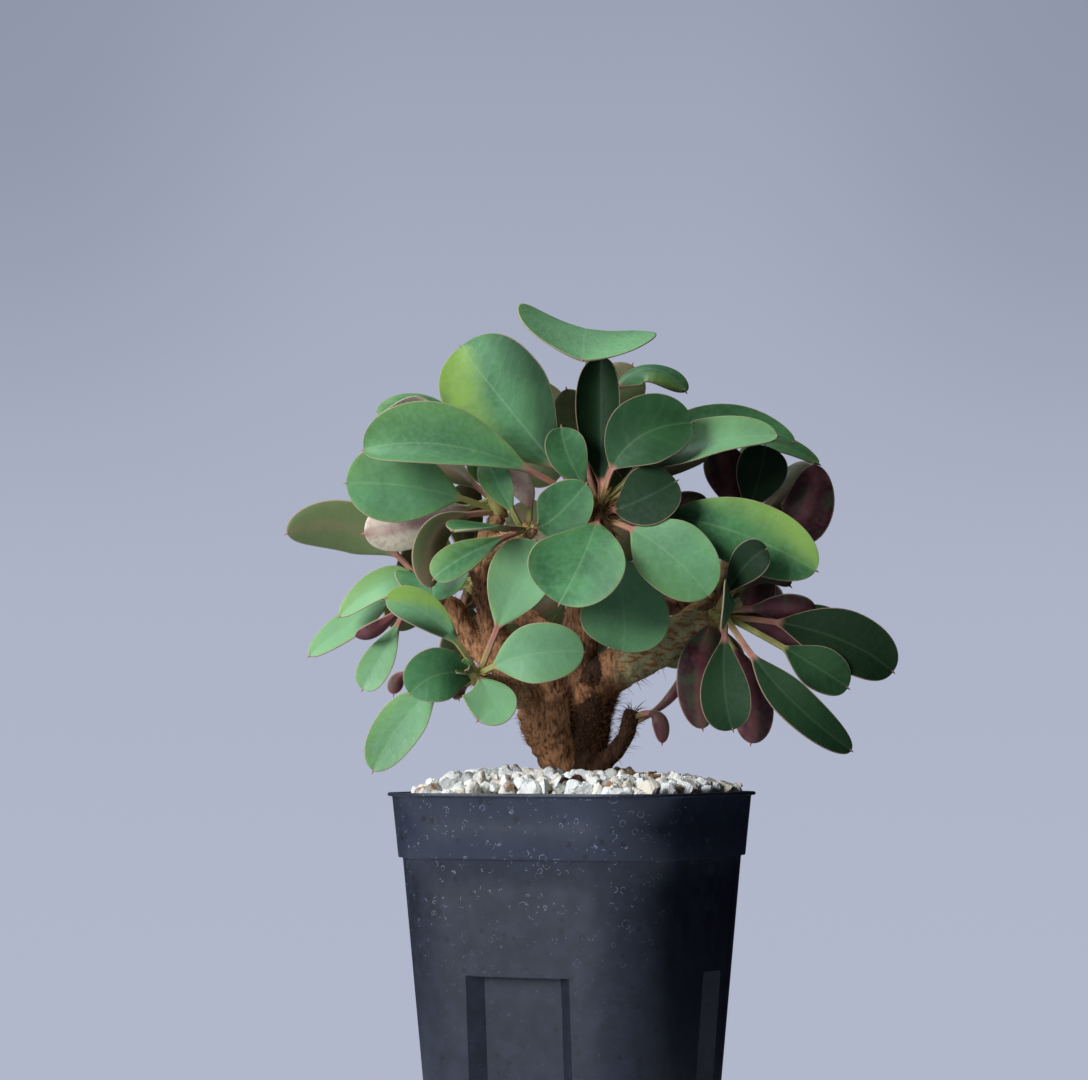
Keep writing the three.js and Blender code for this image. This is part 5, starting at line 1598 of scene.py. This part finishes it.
    def drill(self, piece: bpy.types.Object) -> None:
        """Cuts the drain holes through the floor.

        Args:
            piece: the pot's object.
        """
        cutters = Draft()
        angles = full_turn(self.drain_sides)
        for x in (-self.drain_offset, self.drain_offset):
            for y in (-self.drain_offset, self.drain_offset):
                middle = with_pot(np.array([x, y]))
                circle = middle + self.drain_radius * np.column_stack([np.cos(angles), np.sin(angles)])
                rings = [np.column_stack([circle, np.full(len(circle), z)]) for z in (-2.0, self.floor + 2.0)]
                cutters.add(np.concatenate(rings), ring_faces(len(rings), len(circle)))
        cutter = cutters.make("drain_cutter", piece.data.materials[0])
        cut = piece.modifiers.new("drains", "BOOLEAN")
        cut.object = cutter
        cut.solver = "EXACT"
        apply_modifiers(piece)
        bpy.data.objects.remove(cutter)
        piece.data.polygons.foreach_set("use_smooth", [True] * len(piece.data.polygons))
        piece.data.set_sharp_from_angle(angle=math.radians(40))


@dataclass
class Gravel:
    """Crushed pumice heaped on the soil, two layers of grains over a packed bed."""

    seed: int = 5
    half: float = 42.3
    centre_x: float = 3.0
    rise: float = 5.2
    lean: float = 0.03
    reach: float = 47.5
    lowest: float = -0.3
    spacing: float = 3.7
    trunk_spots: tuple[Point, ...] = ((-3.2, -2.0, 6.4), (3.5, -2.0, 6.2), (0.0, 4.0, 7.4))
    jitter: float = 0.9
    radii: tuple[float, float] = (1.5, 2.9)
    breaks: int = 9
    rusty_tint: float = 0.99
    rusty_from_x: float = 12.0
    rusty_share: float = 0.05
    rusty_elsewhere: float = 0.01
    bed_foot: float = 99.8
    bed_drop: float = 4.2
    bed_shares: tuple[float, ...] = (0.98, 0.7, 0.4, 0.12)

    def top(self, x: float, y: float) -> float:
        """Returns the heap's height at a place."""
        away = math.hypot(x - self.centre_x, y) / self.reach
        return POT_HEIGHT + (self.rise - self.lean * x) * max(self.lowest, 1 - away ** 4)

    def room(self, x: float, y: float) -> float:
        """Returns how far a place is from the pot's inner wall.

        Args:
            x: the place across, in the pot's own axes.
            y: the place along them.

        Returns:
            The distance, below 0 outside the wall.
        """
        radius = self.half * 0.47
        dx, dy = abs(x) - (self.half - radius), abs(y) - (self.half - radius)
        if dx > 0 and dy > 0:
            return radius - math.hypot(dx, dy)
        return self.half - max(abs(x), abs(y))

    def spots(self, rng: np.random.Generator, spacing: float, margin: float) -> list[tuple[float, float]]:
        """Returns scattered places for grains, off the trunk and inside the wall.

        Args:
            rng: the random draw.
            spacing: millimetres from grain to grain.
            margin: the least distance to the wall.

        Returns:
            The places.
        """
        found = []
        rows = int(self.half / spacing)
        for row in range(-rows, rows + 1):
            for column in range(-rows, rows + 1):
                x = column * spacing + (row % 2) * spacing / 2 + rng.uniform(-self.jitter, self.jitter)
                y = row * spacing + rng.uniform(-self.jitter, self.jitter)
                if self.room(x, y) < margin:
                    continue
                spot = tuple(with_pot(np.array([x, y])))
                if all(math.hypot(spot[0] - tx, spot[1] - ty) > r for tx, ty, r in self.trunk_spots):
                    found.append(spot)
        return found

    def grain(self, sphere: tuple[np.ndarray, Faces], rng: np.random.Generator, radius: float) -> np.ndarray:
        """Returns the points of one broken grain.

        Args:
            sphere: a unit sphere's points and faces.
            rng: the random draw.
            radius: its radius in millimetres.

        Returns:
            The points, about the grain's middle.
        """
        ways = sphere[0]
        planes = unit(rng.normal(size=(self.breaks, 3)))
        depths = rng.uniform(0.5, 0.95, self.breaks)
        reach = depths / np.maximum(ways @ planes.T, 1e-3)
        points = ways * np.minimum(reach.min(axis=1), 1.3)[:, None] * radius
        return points * rng.uniform(0.75, 1.25, 3)

    def build(self, pumice: bpy.types.Material) -> None:
        """Builds the gravel and puts it in the frame.

        Args:
            pumice: its finish.
        """
        rng = np.random.default_rng(self.seed)
        stains = np.random.default_rng(self.seed + 1)
        draft = Draft()
        self.bed(draft)
        fine, coarse = unit_sphere(3), unit_sphere(2)
        for layer, sphere, margin in ((0.0, fine, 2.0), (3.2, coarse, 2.2)):
            for x, y in self.spots(rng, self.spacing, margin):
                radius = rng.uniform(*self.radii)
                points = self.grain(sphere, rng, radius)
                middle = np.array([x, y, self.top(x, y) - radius * 0.55 - layer + rng.uniform(-0.6, 0.5)])
                tint = rng.uniform()
                # More of the grains at the right are rusty.
                if stains.uniform() < (self.rusty_share if x > self.rusty_from_x else self.rusty_elsewhere):
                    tint = self.rusty_tint
                draft.add(points + middle, sphere[1], tint=tint)
        put_in_frame(draft.make("pumice_grains", pumice, smooth=False), "pumice", "pumice_gravel")

    def bed(self, draft: Draft) -> None:
        """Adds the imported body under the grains.

        Args:
            draft: the gravel's mesh.
        """
        rings = []
        for share in (self.bed_shares[0], *self.bed_shares):
            ring = Pot().ring(self.half * share, 0.0, 0.0)
            ring[:, :2] = with_pot(ring[:, :2])
            ring[:, 2] = [self.top(x, y) - self.bed_drop for x, y, _ in ring] if rings else self.bed_foot
            rings.append(ring)
        draft.add(np.concatenate(rings), ring_faces(len(rings), len(rings[0])), tint=0.85)


def unit_sphere(cuts: int) -> tuple[np.ndarray, Faces]:
    """Makes a unit sphere of triangles.

    Args:
        cuts: how many times each triangle is cut in four, counting the bare ball as one.

    Returns:
        Its points and faces.
    """
    made = bmesh.new()
    bmesh.ops.create_icosphere(made, subdivisions=cuts, radius=1.0)
    points = np.array([v.co[:] for v in made.verts])
    faces = [tuple(v.index for v in face.verts) for face in made.faces]
    made.free()
    return points, faces


@dataclass
class Litter:
    """A dry curled root and a bit of dry twig, lying on the pumice."""

    gravel: Gravel
    root: tuple[tuple[float, float], ...] = ((-4, 40), (-2, 36), (1, 35), (2.5, 38), (0, 40))
    twig: tuple[tuple[float, float], ...] = ((14, 24), (19, 23), (24, 24.5))
    steps: int = 40
    sides: int = 12

    def strand(self, name: str, node: str, places: tuple[tuple[float, float], ...], radius: float,
               finish: bpy.types.Material) -> None:
        """Builds one strand along its places and puts it in the frame.

        Args:
            name: the piece's name.
            node: the node that it stands for.
            places: across and near, in millimetres.
            radius: its radius in millimetres.
            finish: its finish.
        """
        spots = np.array([(x, -near, self.gravel.top(x, -near)) for x, near in places])
        t = np.linspace(0, len(spots) - 1, self.steps)
        points = np.column_stack([np.interp(t, range(len(spots)), spots[:, k]) for k in range(3)])
        for _ in range(6):
            points[1:-1] = (points[:-2] + points[1:-1] + points[2:]) / 3
        points[:, 2] += 0.5 * np.sin(t * 4) + radius
        tangents = unit(np.gradient(points, axis=0))
        girth = radius * (0.75 + 0.35 * np.sin(np.linspace(0, np.pi, self.steps)) + 0.1 * np.sin(t * 9))
        rings = tube_rings(points, tangents, (0, 0, -1), girth[:, None], self.sides)
        draft = Draft()
        draft.add(rings.reshape(-1, 3), ring_faces(self.steps, self.sides))
        put_in_frame(draft.make(name, finish), "litter", node)

    def build(self) -> None:
        """Builds both strands."""
        self.strand("curled_root", "dry_root", self.root, 0.6,
                    Earth("dry_root_shrivelled", 0.8, 0.2, "#2a1610", "#573022", 1.0).material())
        self.strand("broken_twig", "dry_twig", self.twig, 0.7,
                    Earth("dry_twig_weathered", 0.9, 0.2, "#5c4228", "#937347", 1.0).material())


@dataclass
class Studio:
    """Camera at the photograph's view, a pale floor, a pale backdrop and soft lamps."""

    pitch: float = math.radians(3.26)
    focal_px: float = 3583.0
    image_width_px: float = 1088.0
    sensor_mm: float = 36.0
    backdrop_low: str = "#b2b8cb"
    backdrop_high: str = "#9aa1b4"
    backdrop_side: str = "#878ea3"
    fill_left: str = "#b9c4de"
    fill_right: str = "#1c1f27"
    floor_centre: Point = (-120.0, -250.0, 0.0)
    floor_radii: tuple[float, ...] = (60.0, 160.0, 280.0, 450.0)
    floor_sides: int = 96
    floor_paper: str = "#c6cedf"

    def build(self) -> None:
        """Builds the camera, floor, backdrop and lamps."""
        scene = bpy.context.scene
        scene.view_settings.view_transform = "Standard"
        scene.view_settings.look = "None"
        self.camera(scene)
        self.backdrop(scene)
        self.floor()
        self.lamp("key", (-0.92, -0.86, 0.62), (0.0, 0.0, 0.12), (0.55, 0.65), 25.0, "#f2f5ff")
        self.lamp("top", (-0.4, 0.1, 1.2), (0.0, 0.0, 0.15), (0.5, 0.5), 9.0, "#f0f4ff")

    def camera(self, scene: bpy.types.Scene) -> None:
        """Adds the camera, at the eye that the plant's readings were taken from.

        Args:
            scene: the scene.
        """
        data = bpy.data.cameras.new("view")
        data.sensor_width = self.sensor_mm
        data.lens = self.focal_px / self.image_width_px * self.sensor_mm
        camera = bpy.data.objects.new("view", data)
        camera.location = Vector(EYE * MM)
        camera.rotation_euler = (math.pi / 2 + self.pitch, 0.0, 0.0)
        scene.collection.objects.link(camera)
        scene.camera = camera

    def backdrop(self, scene: bpy.types.Scene) -> None:
        """Sets a pale blue-grey backdrop, and a weak fill that comes mostly from the left.

        Args:
            scene: the scene.
        """
        world = bpy.data.worlds.new("backdrop")
        scene.world = world
        world.use_nodes = True
        tree = world.node_tree
        tree.nodes.clear()
        palette = Palette(tree)
        way = add_node(tree, "ShaderNodeTexCoord").outputs["Generated"]
        parts = add_node(tree, "ShaderNodeSeparateXYZ", {}, {0: way}).outputs
        inputs = {"Value": parts["Z"], "From Min": -0.1, "From Max": 0.21}
        rise = palette(RAISED, add_node(tree, "ShaderNodeMapRange", {}, inputs).outputs[0], 2.0)
        colour = palette(MIX, rise, self.backdrop_low, self.backdrop_high)
        beside = palette(EASE, palette(UNSIGNED, parts["X"]), 0.04, 0.15, 0.0, 0.6)
        beside = palette(TIMES, beside, palette(EASE, parts["Z"], 0.04, 0.19))
        colour = palette(MIX, beside, colour, self.backdrop_side)
        shown = add_node(tree, "ShaderNodeBackground", {}, {"Color": colour, "Strength": 1.0})
        dim = palette(MIX, palette(EASE, parts["X"], -0.7, 0.7), self.fill_left, self.fill_right)
        fill = add_node(tree, "ShaderNodeBackground", {}, {"Color": dim, "Strength": 0.13})
        path = add_node(tree, "ShaderNodeLightPath")
        both = add_node(tree, "ShaderNodeMixShader", {},
                        {0: path.outputs["Is Camera Ray"], 1: fill.outputs[0], 2: shown.outputs[0]})
        add_node(tree, "ShaderNodeOutputWorld", {}, {0: both.outputs[0]})

    def floor(self) -> None:
        """Adds a round pale floor, set towards the viewer, that fades out into the backdrop."""
        sides, radii = self.floor_sides, self.floor_radii
        circle = turned(np.array([1.0, 0.0, 0.0]), np.array([0.0, 1.0, 0.0]), full_turn(sides))
        draft = Draft()
        draft.add(np.concatenate([circle * r + self.floor_centre for r in radii]),
                  ring_faces(len(radii), sides, closed=False) + [tuple(range(sides))],
                  away=np.repeat(radii, sides) / radii[-1])
        paper = bpy.data.materials.new("floor_paper_matte")
        paper.use_nodes = True
        tree = paper.node_tree
        palette = Palette(tree)
        surface = tree.nodes["Principled BSDF"]
        surface.inputs["Base Color"].default_value = linear(self.floor_paper)
        surface.inputs["Roughness"].default_value = 0.9
        fade = palette(EASE, palette.value("away"), 0.75, 1.0, 1.0, 0.0)
        tree.links.new(fade, surface.inputs["Alpha"])
        ground = draft.make("floor", paper)

    def lamp(self, name: str, place: Point, target: Point, size: tuple[float, float], watts: float,
             colour: str) -> None:
        """Adds a soft rectangular lamp.

        Args:
            name: its name.
            place: where it hangs, in metres.
            target: what it points at, in metres.
            size: its width and height, in metres.
            watts: its power.
            colour: its colour, as sRGB hex.
        """
        data = bpy.data.lights.new(name, "AREA")
        data.shape = "RECTANGLE"
        data.size, data.size_y = size
        data.energy = watts
        data.color = linear(colour)[:3]
        lamp = bpy.data.objects.new(name, data)
        lamp.location = place
        lamp.rotation_euler = (Vector(target) - Vector(place)).to_track_quat("-Z", "Y").to_euler()
        bpy.context.scene.collection.objects.link(lamp)


@dataclass
class Soil:
    """The soil under the gravel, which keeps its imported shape."""

    node: str = "soil"

    def build(self, earth: bpy.types.Material) -> None:
        """Gives the soil its finish and reports it.

        Args:
            earth: its finish.
        """
        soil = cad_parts[self.node]
        soil.data.materials.clear()
        soil.data.materials.append(earth)
        LOG.info("%s: %d faces", soil.name, len(soil.data.polygons))


def main() -> None:
    """Builds the dressed plant, its pot and the studio, in order."""
    logging.basicConfig(level=logging.INFO, format="%(name)s %(message)s")
    Pot().build(MouldedPot().material())
    Soil().build(Earth().material())
    gravel = Gravel()
    gravel.build(Pumice().material())
    Litter(gravel).build()
    Trunk().build(Bark().material(), Hair().material())
    leaf = LeafCuticle().material()
    rng = np.random.default_rng(23)
    for rosette in ROSETTES:
        rosette.build(leaf, rng)
    Studio().build()


if __name__ == "__main__":
    main()
